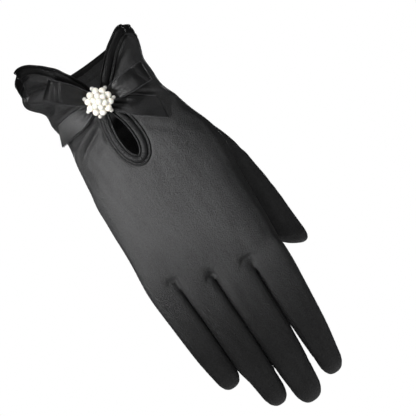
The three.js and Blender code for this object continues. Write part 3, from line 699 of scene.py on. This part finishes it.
VOXEL = 0.75
SPREAD = 3.0

crotches = []
for one, other in zip(fingers, fingers[1:]):
    between = (one.x + one.width / 2 + other.x - other.width / 2) / 2
    crotches.append((between, -PALM_LENGTH - KNUCKLE_SLANT * between))


def spread(finger, z):
    """How far a finger is moved aside at a height, so that the remesh keeps it apart from its neighbours."""
    way = [SPREAD * smoothstep(low - z, 0, 14) for _, low in crotches]
    if finger == 3:
        return way[2]
    return -sum(way[finger:2], np.zeros_like(z))


def spread_out(points):
    owner = np.searchsorted([x for x, _ in crotches], points[:, 0])
    for i in range(4):
        mine = owner == i
        points[mine, 0] += spread(i, points[mine, 2])


def gather_in(points):
    """Takes the fingers back to their places."""
    x, z = points[:, 0].copy(), points[:, 2]
    best = np.full(len(x), 1e9)
    for i, finger in enumerate(fingers):
        share = np.clip((finger.root - z) / finger.length, 0, 1)
        at = x - spread(i, z)
        away = np.abs(at - finger.x - finger.drift * share**1.2) - finger.width / 2
        closer = away < best
        best = np.where(closer, away, best)
        points[closer, 0] = at[closer]
    return points


def cloth_skin():
    parts = [loft(hand_rings())]
    spread_out(parts[0][0])
    shares = np.linspace(-0.2, 1 - FINGER_DOME, 60)
    for i, finger in enumerate(fingers):
        parts.append(loft(round_ended(lambda s: finger_shape(finger, s), shares, FINGER_DOME)))
        parts[-1][0][:, 0] += spread(i, parts[-1][0][:, 2])
    shares = np.linspace(0, 1 - THUMB_DOME, 60)
    parts.append(loft(round_ended(thumb_shape, shares, THUMB_DOME)))
    parts = [(points, upright(points, faces)) for points, faces in parts]
    raw = new_object("raw_skin", *joined(parts))
    remesh = raw.modifiers.new("skin", "REMESH")
    remesh.mode = "VOXEL"
    remesh.voxel_size = VOXEL * MM
    done = raw.evaluated_get(bpy.context.evaluated_depsgraph_get())
    mesh = bpy.data.meshes.new_from_object(done)
    points = np.array([v.co for v in mesh.vertices], float) / MM
    faces = [tuple(p.vertices) for p in mesh.polygons]
    bpy.data.objects.remove(raw)
    bpy.data.meshes.remove(mesh)
    # The fingers go back to their places, and the thumb and the palm beside it stay.
    low = points[:, 2] < -92
    low &= (points[:, 1] < 11) | (points[:, 0] < 27) | (points[:, 2] < -119)
    points[low] = gather_in(points[low])
    return points, np.array([f if len(f) == 4 else (*f, f[-1]) for f in faces])


def face_edges(quads):
    """Each edge once, with the two faces beside it."""
    starts = quads.reshape(-1)
    ends = np.roll(quads, -1, 1).reshape(-1)
    owner = np.repeat(np.arange(len(quads)), 4)
    keep = starts != ends
    pairs = np.sort(np.stack([starts, ends], -1)[keep], 1)
    owner = owner[keep]
    order = np.lexsort((pairs[:, 1], pairs[:, 0]))
    pairs, owner = pairs[order], owner[order]
    first = np.flatnonzero(np.all(pairs[1:] == pairs[:-1], 1))
    return pairs[first], owner[first], owner[first + 1]


def neighbour_mean(points, edges):
    total = np.zeros_like(points)
    number = np.zeros(len(points))
    for a, b in ((0, 1), (1, 0)):
        np.add.at(total, edges[:, a], points[edges[:, b]])
        np.add.at(number, edges[:, a], 1)
    return total / np.maximum(number, 1)[:, None]


def vertex_normals(points, quads):
    a, b, c, d = (points[quads[:, k]] for k in range(4))
    face = np.cross(c - a, d - b)
    normals = np.zeros_like(points)
    for k in range(4):
        np.add.at(normals, quads[:, k], face)
    return normals / np.maximum(np.linalg.norm(normals, axis=1), 1e-9)[:, None]


def on_tube(points):
    """Turn and height on the hand's tube nearest to each point, and how far outside the tube it is."""
    x, y, z = points.T
    level = z.copy()
    for _ in range(4):
        level = np.clip(z + tube_slant(level) * x, -97.5, SKIN_TOP)
    square = tube_square(level)
    side = (x - tube_middle(level)) / half_width(level)
    back = -(y - midline_y(level)) / half_depth(level)
    turn = np.arctan2(power(side, square / 2), power(back, square / 2)) / DEG
    radius = (np.abs(side) ** square + np.abs(back) ** square) ** (1 / square)
    middle = np.stack([tube_middle(level), midline_y(level)], -1)
    size = np.hypot(*(tube_point(turn, level)[:, :2] - middle).T)
    return turn, level, (radius - 1) * size


def outside_thumb(points):
    x, y, z = points.T
    side, slant = 0, 0
    for _ in range(5):
        share = np.clip((THUMB_ROOT - z - slant * (x - side * KNUCKLE_WIDTH)) / THUMB_LENGTH, 0, 1)
        width, depth, side, palm, slant = (c(share) for c in thumb_columns)
    across = (x - side * KNUCKLE_WIDTH) / (THUMB_WIDTH / 2 * width)
    deep = (y - palm * PALM_DEPTH) / (THUMB_DEPTH / 2 * depth)
    radius = (np.abs(across) ** SQUARENESS + np.abs(deep) ** SQUARENESS) ** (1 / SQUARENESS)
    out = (radius - 1) * THUMB_WIDTH / 2
    return np.where(z > THUMB_ROOT + 2, FAR_AWAY, out)


# The panels, and CUT for what the keyhole and the cuff's edge take away. FOURCHETTE is the first of three.
BACK, PALM, THUMB, CUT, FOURCHETTE = range(5)


def panel_labels(centres, line):
    """The panel of each face, from the places of the faces' middles."""
    x, y, z = centres.T
    turn, level, off_tube = on_tube(centres)
    label = np.where(y < midline_y(z), BACK, PALM)
    start = line[0, 0]
    polygon = np.vstack([line, [line[-1, 0], FAR_AWAY], [line[0, 0], FAR_AWAY]])
    label[in_polygon((turn - start) % 360 + start, level, polygon) & (z > -60)] = CUT
    off_thumb = outside_thumb(centres)
    thumb = (off_thumb < off_tube) & (z < THUMB_ROOT) & (x > 24)
    label[thumb] = THUMB
    for i, (one, other) in enumerate(zip(fingers, fingers[1:])):
        between, low = crotches[i]
        top = low + 4 * WALL
        shorter = one if one.length < other.length else other
        bottom = shorter.root - shorter.length * (1 - 1.6 * FINGER_DOME)
        between = between + one.drift * 0.7
        reach = FOURCHETTE_WIDTH / 2 * np.sqrt(smoothstep(z, bottom - 6, bottom + 12))
        # The photo shows the index finger's strip from the front.
        if other.name == "index":
            reach = np.where((x > between) & (y < midline_y(z)), 1.85 * reach, reach)
        near = np.abs(y - midline_y(z)) < reach
        inside = (x > one.x + one.drift) & (x < other.x + other.drift)
        label[near & inside & (z < top) & (z > bottom - 6) & (label != THUMB)] = FOURCHETTE + i
    return label


# Creases in the front view of the back: points (x, z), width, height, and the share left at the last point
BACK_CREASES = [
    ([(9, -2.5), (17, -4.2), (29, -6.5), (33, -7.5)], 1.7, 1.0, 0.5),
    ([(12, -7), (18, -8.6), (26, -12.5), (31, -16)], 2.0, -1.9, 0.4),
    ([(22, -8), (28, -12), (33, -18), (36, -26)], 2.2, 0.8, 0.1),
    ([(10, -19), (15, -25), (21.4, -30.3), (27, -37)], 2.2, -0.5, 0.1),
    ([(12, -14), (18, -20), (25, -27)], 2.4, 0.45, 0.1),
    ([(14, -34), (20, -42), (27, -52)], 3.0, 0.3, 0.1),
    ([(-9, 4.4), (-17, 4.2), (-28, 4.0)], 1.6, -1.1, 0.6),
    ([(-4, -5.2), (-12, -6.0), (-22.3, -7.3), (-27, -8.5)], 1.5, -1.1, 0.5),
    ([(-5, -6.6), (-13, -9.8), (-21.8, -13.6), (-27, -17)], 1.4, 1.5, 0.5),
    ([(-6.5, -10), (-12, -12.6), (-19, -15.8), (-27, -22)], 1.6, -2.0, 0.4),
    ([(-7, -15), (-14, -19), (-22, -25), (-28, -33)], 2.2, 0.7, 0.1),
    ([(-7, -24), (-13, -31), (-22, -42)], 2.8, -0.35, 0.1),
    ([(-19.8, -97), (-19.9, -94.4), (-22.5, -93.4), (-26, -95)], 1.3, -1.0, 0.1),
    ([(-2.0, -105), (-2.4, -102.4), (-5.6, -102.4), (-8.6, -105)], 1.2, -1.2, 0.1),
    ([(18.2, -109), (18.0, -105.8), (13.6, -105.2), (10.2, -108.4)], 1.2, -1.3, 0.2),
    ([(16, -103.2), (12.4, -102.2), (9, -104.4)], 1.4, 0.5, 0.2),
    ([(-19.5, -91), (-19, -88), (-18, -82)], 2.4, -0.25, 0.0),
    ([(-1.5, -99.5), (0, -96), (2, -90)], 2.4, -0.25, 0.0),
    ([(18.5, -102), (18, -98), (16, -91)], 2.6, -0.3, 0.0),
]
# The same on the little wing and the thumb wing of the cuff
WING_CREASES = [
    ([(-12, 19), (-17, 24), (-21, 28.5)], 2.0, 1.3, 0.7),
    ([(-14, 20), (-20, 22.2), (-27, 24)], 1.7, -2.9, 0.8),
    ([(-15, 15.5), (-22.2, 17), (-29, 21)], 1.7, 2.4, 0.8),
    ([(-20, 10), (-25.3, 11.8), (-30, 15)], 1.8, -3.0, 0.8),
    ([(-16, 8.2), (-24, 8.0), (-31, 9.5)], 1.8, 1.3, 0.7),
    ([(12, 6.5), (20, 10.5), (28, 14)], 2.0, -1.4, 0.8),
    ([(14, 9.5), (20, 13.6), (27, 18)], 1.8, 0.5, 0.6),
    ([(14, 3.5), (22, 4.5), (31, 7)], 1.8, 0.6, 0.6),
]
# The same in the front view of the palm's side, where the cloth folds as the hand bends
PALM_CREASES = [
    ([(-24, -86), (-8, -80), (14, -82), (30, -92)], 2.6, -0.6, 0.3),
    ([(-28, -70), (-10, -66), (12, -62), (26, -48)], 2.6, -0.55, 0.3),
    ([(34, -34), (22, -42), (12, -58), (10, -76)], 3.0, -0.7, 0.2),
    ([(-24, -12), (-8, -9), (10, -10), (24, -15)], 2.2, -0.7, 0.4),
    ([(-22, -18), (-6, -15), (12, -17), (22, -21)], 2.2, 0.5, 0.3),
    ([(-20, -5), (0, -3), (20, -6)], 2.4, 0.45, 0.4),
]


def polyline_fall(x, z, points, width, rest):
    """A bell across a polyline, rising at its start and falling to the share rest at its end."""
    points = np.array(points, float)
    far = distances(points)
    best = np.full(x.shape, 1e9)
    where = np.zeros(x.shape)
    for k in range(len(points) - 1):
        away, share = near_segment(x, z, points[k], points[k + 1])
        closer = away < best
        best = np.where(closer, away, best)
        where = np.where(closer, (far[k] + share * (far[k + 1] - far[k])) / far[-1], where)
    fade = smoothstep(where, -0.15, 0.3) * lerp(1, rest, smoothstep(where, 0.55, 1))
    return bell(best, width) * fade


def crease_height(points, normals, on_hand):
    x, y, z = points.T
    back = smoothstep(-normals[:, 1], 0.02, 0.5)
    palm = smoothstep(normals[:, 1], 0.1, 0.6)
    height = np.zeros(len(points))
    for creases, side in ((BACK_CREASES + WING_CREASES, back), (PALM_CREASES, palm)):
        for line, width, rise, rest in creases:
            height += rise * polyline_fall(x, z, line, width, rest) * side
    return height * on_hand


# Creases across a finger: share of its length, height on the back, height on the palm's side
JOINT_CREASES = [
    (0.06, -0.05, -0.35), (0.33, -0.16, -0.5), (0.37, 0.1, 0.15), (0.41, -0.14, -0.3),
    (0.65, -0.1, -0.4), (0.7, -0.08, -0.2),
]
# The same across the thumb, with one height all round
THUMB_CREASES = [(0.38, -0.25), (0.43, 0.15), (0.64, -0.22), (0.7, -0.14)]


def finger_height(points, normals, off_tube):
    """Fine creases across the fingers at their joints, on points beyond the palm."""
    x, y, z = points.T
    height = np.zeros(len(points))
    away = np.stack([np.abs(x - f.x - 0.5 * f.drift) for f in fingers])
    nearest = away.argmin(0)
    for i, finger in enumerate(fingers):
        mine = nearest == i
        share = (finger.root - z) / finger.length
        tilt = 0.02 * (x - finger.x) / 8
        for place, back, palm in JOINT_CREASES:
            amount = np.where(normals[:, 1] < 0, back * -normals[:, 1], palm * normals[:, 1])
            fall = bell((share - place - tilt) * finger.length, 1.5)
            height += np.where(mine, amount * fall, 0)
    return height * smoothstep(off_tube, 0.5, 3) * (z < -96)


def wander(points, scale, seed):
    """Smooth noise from -1 to 1 at each point, with features about scale millimetres wide."""
    shift = Vector((seed * 17.3, seed * 5.1, seed * 11.7))
    return np.array([noise.noise(Vector(p) / scale + shift) for p in points.tolist()])


def binding_widen(middle):
    return 1.15 + 0.25 * smoothstep(middle[:, 2], 2, 12)


def stretched(place, widen):
    """Places across the binding, with the ones past its rolled rim spread out."""
    return np.where(place > RIM_END, RIM_END + (place - RIM_END) * widen, place)


def thumb_height(points, off_tube, off_thumb):
    """Soft creases across the thumb and at its base."""
    share = (THUMB_ROOT - points[:, 2]) / THUMB_LENGTH
    on_thumb = (off_thumb < off_tube) * smoothstep(off_tube, 0.5, 4)
    return [on_thumb * rise * bell((share - place) * THUMB_LENGTH, 2.2) for place, rise in THUMB_CREASES]


def above_knuckles(points):
    return points[:, 2] + PALM_LENGTH + KNUCKLE_SLANT * points[:, 0]


def smooth_skin(points, edges):
    """Runs the fingers smoothly into the palm and takes the remesh's steps out."""
    near = bell(above_knuckles(points), 6) * (points[:, 1] < 12)
    near = (0.5 * near)[:, None]
    for _ in range(24):
        points = points + near * (neighbour_mean(points, edges) - points)
    for _ in range(5):
        for strength in (0.6, -0.62):
            points = points + strength * (neighbour_mean(points, edges) - points)
    return points


def settle_labels(label, one, other):
    """Single faces that stick out of their panel go over to the one round them."""
    for _ in range(3):
        differ = np.zeros(len(label), int)
        swap = label.copy()
        mixed = label[one] != label[other]
        np.add.at(differ, one[mixed], 1)
        np.add.at(differ, other[mixed], 1)
        for a, b in ((one, other), (other, one)):
            lone = mixed & (differ[a] >= 3)
            swap[a[lone]] = label[b[lone]]
        label = swap
    return label


def straighten_seams(points, edges, seam_edges):
    """Draws each seam into a smooth line and lets the cloth between follow."""
    ways = np.bincount(seam_edges.reshape(-1), minlength=len(points))
    on_seam = ways > 0
    loose = ways == 2
    for _ in range(24):
        mean = neighbour_mean(points, seam_edges)
        points[loose] += 0.5 * (mean[loose] - points[loose])
        mean = neighbour_mean(points, edges)
        points[~on_seam] += 0.12 * (mean[~on_seam] - points[~on_seam])


def gather_at_binding(height, points, off_tube, line):
    """The cloth lies flat at the binding's edge, and is gathered into ripples beside it."""
    steps = tube_point(line[:, 0], line[:, 1], -WALL / 2)
    far = distances(steps)
    tree = nearest_tree(steps)
    close = np.flatnonzero((points[:, 2] > -48) & (off_tube < 6))
    found = [tree.find(Vector(points[i])) for i in close]
    away = np.array([f[2] for f in found])
    along = far[[f[1] for f in found]]
    beyond = away - stretched(2.42, binding_widen(points[close]))
    height[close] *= smoothstep(beyond, -0.4, 2.5)
    height[close] -= 0.5 * (1 - smoothstep(beyond, 0.0, 1.3))
    ripple = np.cos(2 * math.pi * along / 3.3 + 2.2 * np.sin(along / 7.0)) + 0.6 * np.cos(along * 1.13 + 1.0)
    height[close] += 0.03 * ripple * bell(away, 7.5)


def seam_height(points, seam):
    """The seams are drawn in, with a ridge and fine puckers beside them."""
    tree = nearest_tree(points[seam])
    away = np.array([tree.find(Vector(p))[2] for p in points.tolist()])
    pucker = np.cos(points[:, 2] * 2 * math.pi / 2.4 + 3 * wander(points, 9, 3))
    return -0.5 * bell(away, 0.85) + 0.12 * bell(away - 1.7, 0.9), 0.045 * pucker * bell(away, 2.4)


def build_panels(line):
    """The skin's points and faces, with each face's panel."""
    points, quads = cloth_skin()
    edges, one, other = face_edges(quads)
    points = smooth_skin(points, edges)
    label = settle_labels(panel_labels(points[quads].mean(1), line), one, other)
    border = label[one] != label[other]
    straighten_seams(points, edges, edges[border])

    normals = vertex_normals(points, quads)
    _, _, off_tube = on_tube(points)
    off_thumb = outside_thumb(points)
    on_hand = (1 - smoothstep(off_tube, 1.5, 4)) * smoothstep(points[:, 2], -114, -108)
    height = crease_height(points, normals, on_hand)
    height += finger_height(points, normals, off_tube)
    # The back is full where the knuckles fill it, so that it runs level into the fingers.
    full = smoothstep(-normals[:, 1], 0.3, 0.8) * lerp(0.3, 0.6, smoothstep(points[:, 0], -30, -14))
    height += full * bell(above_knuckles(points) - 2.6, 4.4) * (off_thumb > 0)
    height += 0.1 * wander(points, 15, 1) + 0.03 * wander(points, 4.5, 2)
    for crease in thumb_height(points, off_tube, off_thumb):
        height += crease
    gather_at_binding(height, points, off_tube, line)
    inner = border & (label[one] != CUT) & (label[other] != CUT)
    for rise in seam_height(points, np.unique(edges[inner].reshape(-1))):
        height += rise
    return points + normals * height[:, None], quads, label


# Materials


def link_noise(tree, scale, detail, roughness, seed=(0, 0, 0), stretch=(1, 1, 1)):
    coords = new_node(tree, "TexCoord", {}).outputs["Object"]
    mapping = new_node(tree, "Mapping", {"Vector": coords, "Location": seed, "Scale": stretch})
    inputs = {"Vector": mapping.outputs["Vector"], "Scale": scale, "Detail": detail, "Roughness": roughness}
    return new_node(tree, "TexNoise", inputs).outputs["Fac"]


def weighted(tree, one, other, share):
    """The sum of two grey values, the first one times share and the second times the rest."""
    parts = []
    for value, weight in ((one, share), (other, 1 - share)):
        node = new_node(tree, "Math", {0: value, 1: weight})
        node.operation = "MULTIPLY"
        parts.append(node.outputs[0])
    return new_node(tree, "Math", {0: parts[0], 1: parts[1]}).outputs[0]


def ramp(tree, factor, stops):
    node = new_node(tree, "ValToRGB", {0: factor})
    for element, (place, value) in zip(node.color_ramp.elements, stops):
        element.position = place
        colour = value if isinstance(value, tuple) else (value, value, value)
        element.color = (*colour, 1)
    return node.outputs["Color"]


def bump(tree, height, strength, distance, before=None):
    node = new_node(tree, "Bump", {"Strength": strength, "Distance": distance, "Height": height})
    if before is not None:
        fill(tree, node, {"Normal": before})
    return node.outputs["Normal"]


def satin(name, dark, light, rough, sheen, grain=0.5, shine=0.5):
    """Black satin: long floats in one direction, slubs, and a soft grain."""
    material, tree, shader = node_material(name)
    slub = link_noise(tree, 260, 3, 0.6, stretch=(1, 1, 0.12))
    grain_noise = link_noise(tree, 1300, 3, 0.8, seed=(1, 5, 2))
    colour = weighted(tree, slub, grain_noise, 0.35)
    mixed = weighted(tree, slub, grain_noise, 0.4)
    fine = bump(tree, grain_noise, grain, 0.00055)
    fill(tree, shader, {
        "Base Color": ramp(tree, colour, [(0.33, dark), (0.67, light)]),
        "Roughness": ramp(tree, mixed, [(0.25, rough[0]), (0.75, rough[1])]),
        "Specular IOR Level": shine,
        "Sheen Weight": sheen,
        "Sheen Roughness": 0.42,
        "Sheen Tint": (0.8, 0.82, 0.86, 1),
        "Normal": bump(tree, slub, 0.25, 0.00008, fine),
    })
    return material


def pearl_material():
    material, tree, shader = node_material("pearl_lustre_and_painted_glow")
    cloud = link_noise(tree, 900, 2, 0.5)
    fill(tree, shader, {
        "Base Color": ramp(tree, cloud, [(0.3, (0.93, 0.89, 0.79)), (0.7, (0.97, 0.95, 0.89))]),
        "Roughness": ramp(tree, cloud, [(0.2, 0.16), (0.8, 0.27)]),
        # Painted glow: the pearls give off a faint warm light of their own, which stands in for light
        # scattered through them.
        "Emission Color": (1.0, 0.95, 0.84, 1),
        "Emission Strength": 0.06,
        "Subsurface Weight": 0.3,
        "Subsurface Radius": (0.0006, 0.0005, 0.0004),
        "Subsurface Scale": 1.0,
        "Coat Weight": 0.5,
        "Coat Roughness": 0.08,
        "Normal": bump(tree, cloud, 0.15, 0.00005),
    })
    return material


def clear_bead_material():
    material, tree, shader = node_material("clear_bead")
    cloud = link_noise(tree, 700, 2, 0.5)
    fill(tree, shader, {
        "Base Color": ramp(tree, cloud, [(0.2, (0.86, 0.84, 0.78)), (0.8, (0.96, 0.95, 0.92))]),
        "Roughness": ramp(tree, cloud, [(0.2, 0.06), (0.8, 0.14)]),
        "Transmission Weight": 0.2,
        "Coat Weight": 0.6,
        "IOR": 1.5,
    })
    return material


def felt_material():
    material, tree, shader = node_material("backing_felt")
    fibre = link_noise(tree, 1800, 4, 0.7)
    fill(tree, shader, {
        "Base Color": ramp(tree, fibre, [(0.3, (0.8, 0.72, 0.52)), (0.7, (0.92, 0.86, 0.7))]),
        "Roughness": ramp(tree, fibre, [(0.3, 0.75), (0.7, 0.95)]),
        "Normal": bump(tree, fibre, 0.6, 0.0001),
    })
    return material


# Building it

camera()
stage()
satin_cloth = satin(
    "satin_cloth", (0.005, 0.005, 0.0053), (0.046, 0.046, 0.047), (0.42, 0.68), 0.06, grain=0.9
)
satin_binding = satin(
    "satin_binding", (0.003, 0.003, 0.0033), (0.007, 0.007, 0.0074), (0.42, 0.54), 0.01, shine=0.28
)
satin_ribbon = satin("satin_ribbon", (0.004, 0.004, 0.0044), (0.008, 0.008, 0.0085), (0.3, 0.4), 0.02)
thread = satin("thread", (0.03, 0.03, 0.032), (0.06, 0.06, 0.062), (0.4, 0.55), 0.1)
pearl = pearl_material()
clear_bead = clear_bead_material()
felt = felt_material()

LINE_STEPS = 700
line = binding_line(LINE_STEPS)
points, quads, label = build_panels(line)

# The flat pattern of each panel: width and length in metres, area in square metres.
# The worn cloth is stretched by about 6%.
PANELS = [
    (BACK, "back_panel", (0.104, 0.214), 0.0159),
    (PALM, "palm_panel", (0.102, 0.206), 0.0156),
    (THUMB, "thumb", (0.062, 0.092), 0.00385),
    (FOURCHETTE, "fourchette_ring_little", (0.0104, 0.072), 0.00052),
    (FOURCHETTE + 1, "fourchette_middle_ring", (0.0104, 0.084), 0.00067),
    (FOURCHETTE + 2, "fourchette_index_middle", (0.013, 0.084), 0.0009),
]

for code, node, flat, area_flat in PANELS:
    mine = quads[label == code]
    used, packed = np.unique(mine.reshape(-1), return_inverse=True)
    faces = [list(dict.fromkeys(face)) for face in packed.reshape(-1, 4).tolist()]
    piece = new_object("glove_" + node.removesuffix("_panel"), points[used], faces)
    add_wall(piece, CLOTH_WALL, -1)
    piece.data.materials.append(satin_cloth)
    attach(piece, "root")
    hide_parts(node)


def binding_frames(count):
    """Points of the binding's middle line with their way out and across, cloth side positive."""
    fine = binding_line(count + 1)[:-1]
    turns, heights = fine.T
    middle = tube_point(turns, heights, -WALL / 2)
    out = unit(tube_point(turns, heights, WALL) - middle)
    tangent = unit(np.roll(middle, -1, 0) - np.roll(middle, 1, 0))
    for _ in range(10):
        out = (np.roll(out, 1, 0) + out + np.roll(out, -1, 0)) / 3
    out -= tangent * (out * tangent).sum(1)[:, None]
    out = unit(out)
    return middle, np.cross(tangent, out), out, distances(middle)


def edge_binding():
    """A folded satin band: a rolled rim on the opening's side, a ribbed puff, and a stitched flat edge."""
    middle, across, out, far = binding_frames(820)
    widen = binding_widen(middle)
    flatter = 1 - 0.55 * smoothstep(middle[:, 1] - midline_y(middle[:, 2]), -9, 2)
    # Places across the band, from the opening to the cloth, with their heights
    place = np.linspace(-3.05, 2.6, 39)
    rim = 0.75 + 0.55 * np.sqrt(arch(place, -2.5, 0.55)) - 0.75 * (place > RIM_END)
    puff = 1.2 * arch(place, -0.5, 1.5) ** 0.5
    flat = 0.66 * arch(place, 1.95, 0.47) ** 0.4
    top = np.maximum(np.maximum(rim, puff), flat)
    ribs = arch(place, -0.5, 1.45)
    under = np.linspace(2.4, -2.85, 9)[1:-1]
    rings = []
    phase = 0.0
    for k in range(len(middle)):
        phase += 2 * math.pi * (far[k] - far[k - 1] if k else 0) / (1.25 + 0.3 * math.sin(far[k] * 0.37))
        rib = 0.085 * math.cos(phase) + 0.04 * math.cos(phase * 0.43 + 1)
        rib *= 1 - 0.7 * float(smoothstep(middle[k, 2], 4, 14))
        swell = 1 + 0.06 * math.sin(far[k] * 0.21) + 0.04 * math.sin(far[k] * 0.57 + 2)
        height = (top * swell + ribs * rib) * flatter[k]
        upper = middle[k] + np.outer(stretched(place, widen[k]), across[k]) + np.outer(height, out[k])
        lower = middle[k] + np.outer(stretched(under, widen[k]), across[k]) - 0.75 * out[k]
        rings.append(np.vstack([upper, lower]))
    return solid(rings, closed=True)


binding = new_object("binding", *edge_binding())
binding.data.materials.append(satin_binding)
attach(binding, "root")
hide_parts("edge_binding")


def rod(path, radius, sides):
    """A closed round bar along a short path, with narrower ends."""
    sizes = np.full(len(path), radius)
    sizes[[0, -1]] *= 0.55
    angles = np.arange(sides) * 2 * math.pi / sides
    rings = []
    for p, t, size in zip(path, unit(np.gradient(path, axis=0)), sizes):
        side = np.cross(t, [0.0, -1.0, 0.0])
        if np.linalg.norm(side) < 1e-3:
            side = np.cross(t, [0.3, 0.2, 1.0])
        side /= np.linalg.norm(side)
        lift = np.cross(side, t)
        rings.append(p + size * (np.outer(np.cos(angles), side) + np.outer(np.sin(angles), lift)))
    return solid(rings)


def binding_stitches():
    middle, across, out, far = binding_frames(1600)
    places = middle + across * stretched(1.42, binding_widen(middle))[:, None]
    hump = np.array([0.1, 0.34, 0.34, 0.1])[:, None]
    parts = []
    for s in np.arange(0.4, far[-1] - 1, STITCH_PITCH):
        where = np.linspace(s, s + STITCH_LENGTH, 4)
        path = along_line(where, far, places) + along_line(where, far, out) * hump
        parts.append(rod(path, 0.11, 5))
    return joined(parts)


stitches = new_object("binding_stitches", *binding_stitches())
stitches.data.materials.append(thread)
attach(stitches, "root")


# The bow's ribbons


def ribbon_place(angle, along, across, lift):
    dx, dz = math.cos(angle * DEG), math.sin(angle * DEG)
    return on_drape(along * dx - across * dz, along * dz + across * dx, lift)


def grid_piece(name, grid, closed):
    """A sheet through a grid of points, closed where its last row meets its first one."""
    rows, columns = grid.shape[:2]
    faces = []
    for i in range(rows if closed else rows - 1):
        n = (i + 1) % rows
        for j in range(columns - 1):
            faces.append([i * columns + j, i * columns + j + 1, n * columns + j + 1, n * columns + j])
    piece = new_object(name, grid.reshape(-1, 3), faces)
    add_wall(piece, RIBBON_WALL, 0)
    piece.data.materials.append(satin_ribbon)
    return piece


def picots(grid):
    """Small thread loops along a ribbon's two edges."""
    parts = []
    for edge, beside in ((0, 1), (-1, -2)):
        line = grid[:, edge]
        outward = unit(line - grid[:, beside])
        far = distances(line)
        for s in np.arange(PICOT_PITCH * 0.6, far[-1] - PICOT_PITCH, PICOT_PITCH):
            where = s + PICOT_PITCH * np.array([0.08, 0.12, 0.3, 0.5, 0.7, 0.88, 0.92])
            reach = np.array([-0.12, 0.2, 0.46, 0.54, 0.46, 0.2, -0.12]) * RNG.uniform(0.85, 1.1)
            base = along_line(where, far, line)
            side = along_line(where, far, outward)
            parts.append(rod(base + side * reach[:, None], 0.16, 4))
    return joined(parts)


def ribbon(name, grid, closed=False):
    """A ribbon with its picots, both riding on the glove."""
    piece = grid_piece(name + "_ribbon", grid, closed)
    loops = new_object(name + "_picots", *picots(grid))
    loops.data.materials.append(thread)
    for part in (piece, loops):
        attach(part, "root")
    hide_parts(name)
    return piece, loops


def tail(angle, length, cut):
    share = np.linspace(0.08, 1, 64)[:, None]
    side = np.linspace(-1, 1, 25)[None, :]
    spread = lerp(0.42, 1, smoothstep(share, 0, 0.6))
    slant = cut / 2 * share**4
    gather = 1 - smoothstep(share, 0.1, 0.62)
    lift = TAIL_LIFT + 0.5 + 0.5 * gather * np.cos(side * 7.5 + 0.6) - 0.28 * side**2 * (1 - gather)
    lift = lift + 0.34 * np.sin(share * 7 + side * 0.8 + angle) * (1 - gather)
    return ribbon_place(angle, share * length + slant * side, side * spread * RIBBON_HALF, lift)


def loop(angle, length):
    rows = np.array(LOOP_PROFILE, float)
    ring = np.vstack([rows, rows[:1]])
    path = resample(ring * [length, LOOP_HEIGHT, 8], 141)[:-1] / [1, 1, 8]
    along, lift, width = (path[:, k : k + 1] for k in range(3))
    side = np.linspace(-1, 1, 25)[None, :]
    share = along / length
    gather = 1 - smoothstep(share, 0.12, 0.7)
    run = unit((np.roll(path, -1, 0) - np.roll(path, 1, 0))[:, :2])
    upper = (lift > 0.55 * LOOP_HEIGHT).astype(float)
    pleat = 0.34 * gather * np.cos(side * 6.8 + 0.9 + 1.2 * upper)
    pleat = pleat - 0.3 * side**2 * smoothstep(share, 0.5, 1) * upper
    pleat = pleat + 0.26 * np.sin(share * 9 + side * 1.5 + angle)
    bend = share + 0.05 * side
    pleat -= upper * (0.75 * bell(bend - 0.84, 0.06) - 0.35 * bell(bend - 0.7, 0.07))
    out_along = along - run[:, 1:2] * pleat
    out_lift = LOOP_LIFT + 0.5 + lift + run[:, 0:1] * -pleat
    return ribbon_place(angle, out_along, side * width * RIBBON_HALF, out_lift)


for name, angle, length, cut in TAILS:
    length *= BOW_REACH
    piece, loops = ribbon(name, tail(angle, length, cut * RIBBON_WIDTH))
    flat = (0.0100, length * 0.94 * MM)

for name, angle, length in LOOPS:
    length *= BOW_REACH
    piece, loops = ribbon(name, loop(angle, length), closed=True)
    flat = (0.0100, 2.05 * length * MM)


# Pearls


def node_middle(node):
    """A CAD node's middle and half its width."""
    low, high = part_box(node)
    return [(a + b) / 2 / MM for a, b in zip(low, high)], (high[0] - low[0]) / 2 / MM


def bead(middle, radius, axis):
    """A drilled bead: a ball with a small dimple at both ends of its hole, not quite round."""
    axis = np.array(axis, float) / np.linalg.norm(axis)
    side = np.cross(axis, [0.2, 1, 0.1])
    side /= np.linalg.norm(side)
    other = np.cross(axis, side)
    angles = np.arange(28) * 2 * math.pi / 28
    round_way = np.outer(np.cos(angles), side) + np.outer(np.sin(angles), other)
    reach = math.acos(BEAD_HOLE)
    tall = RNG.uniform(0.965, 1.0)
    wide = 1 + RNG.uniform(-0.012, 0)
    ball = [(math.sin(t), math.cos(t)) for t in np.linspace(-reach, reach, 17)]
    rows = [(-0.55, BEAD_HOLE * 0.9), *ball, (0.55, BEAD_HOLE * 0.9)]
    rings = [np.array(middle) + radius * (up * tall * axis + out * wide * round_way) for up, out in rows]
    return solid(rings)


cluster, _ = node_middle("pearl_backing")

for ring, count, material, swell in (
    ("pearl_rim", 7, clear_bead, 1.1),
    ("pearl_outer", 10, pearl, 1.14),
    ("pearl_inner", 6, pearl, 1.2),
    ("pearl_centre", 1, pearl, 1.2),
):
    parts = []
    for k in range(count):
        middle, radius = node_middle(f"{ring}_{k + 1}")
        x, z = middle[0] - cluster[0], middle[2] - cluster[2]
        axis = (-z, 0, x) if count > 1 else (1, 0, 0.3)
        parts.append(bead(middle, radius * swell, axis))
    piece = new_object(ring + "s", *joined(parts))
    piece.data.materials.append(material)
    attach(piece, "root")
    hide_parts(*[f"{ring}_{k + 1}" for k in range(count)])

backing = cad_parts["pearl_backing"].data.materials
backing.clear()
backing.append(felt)
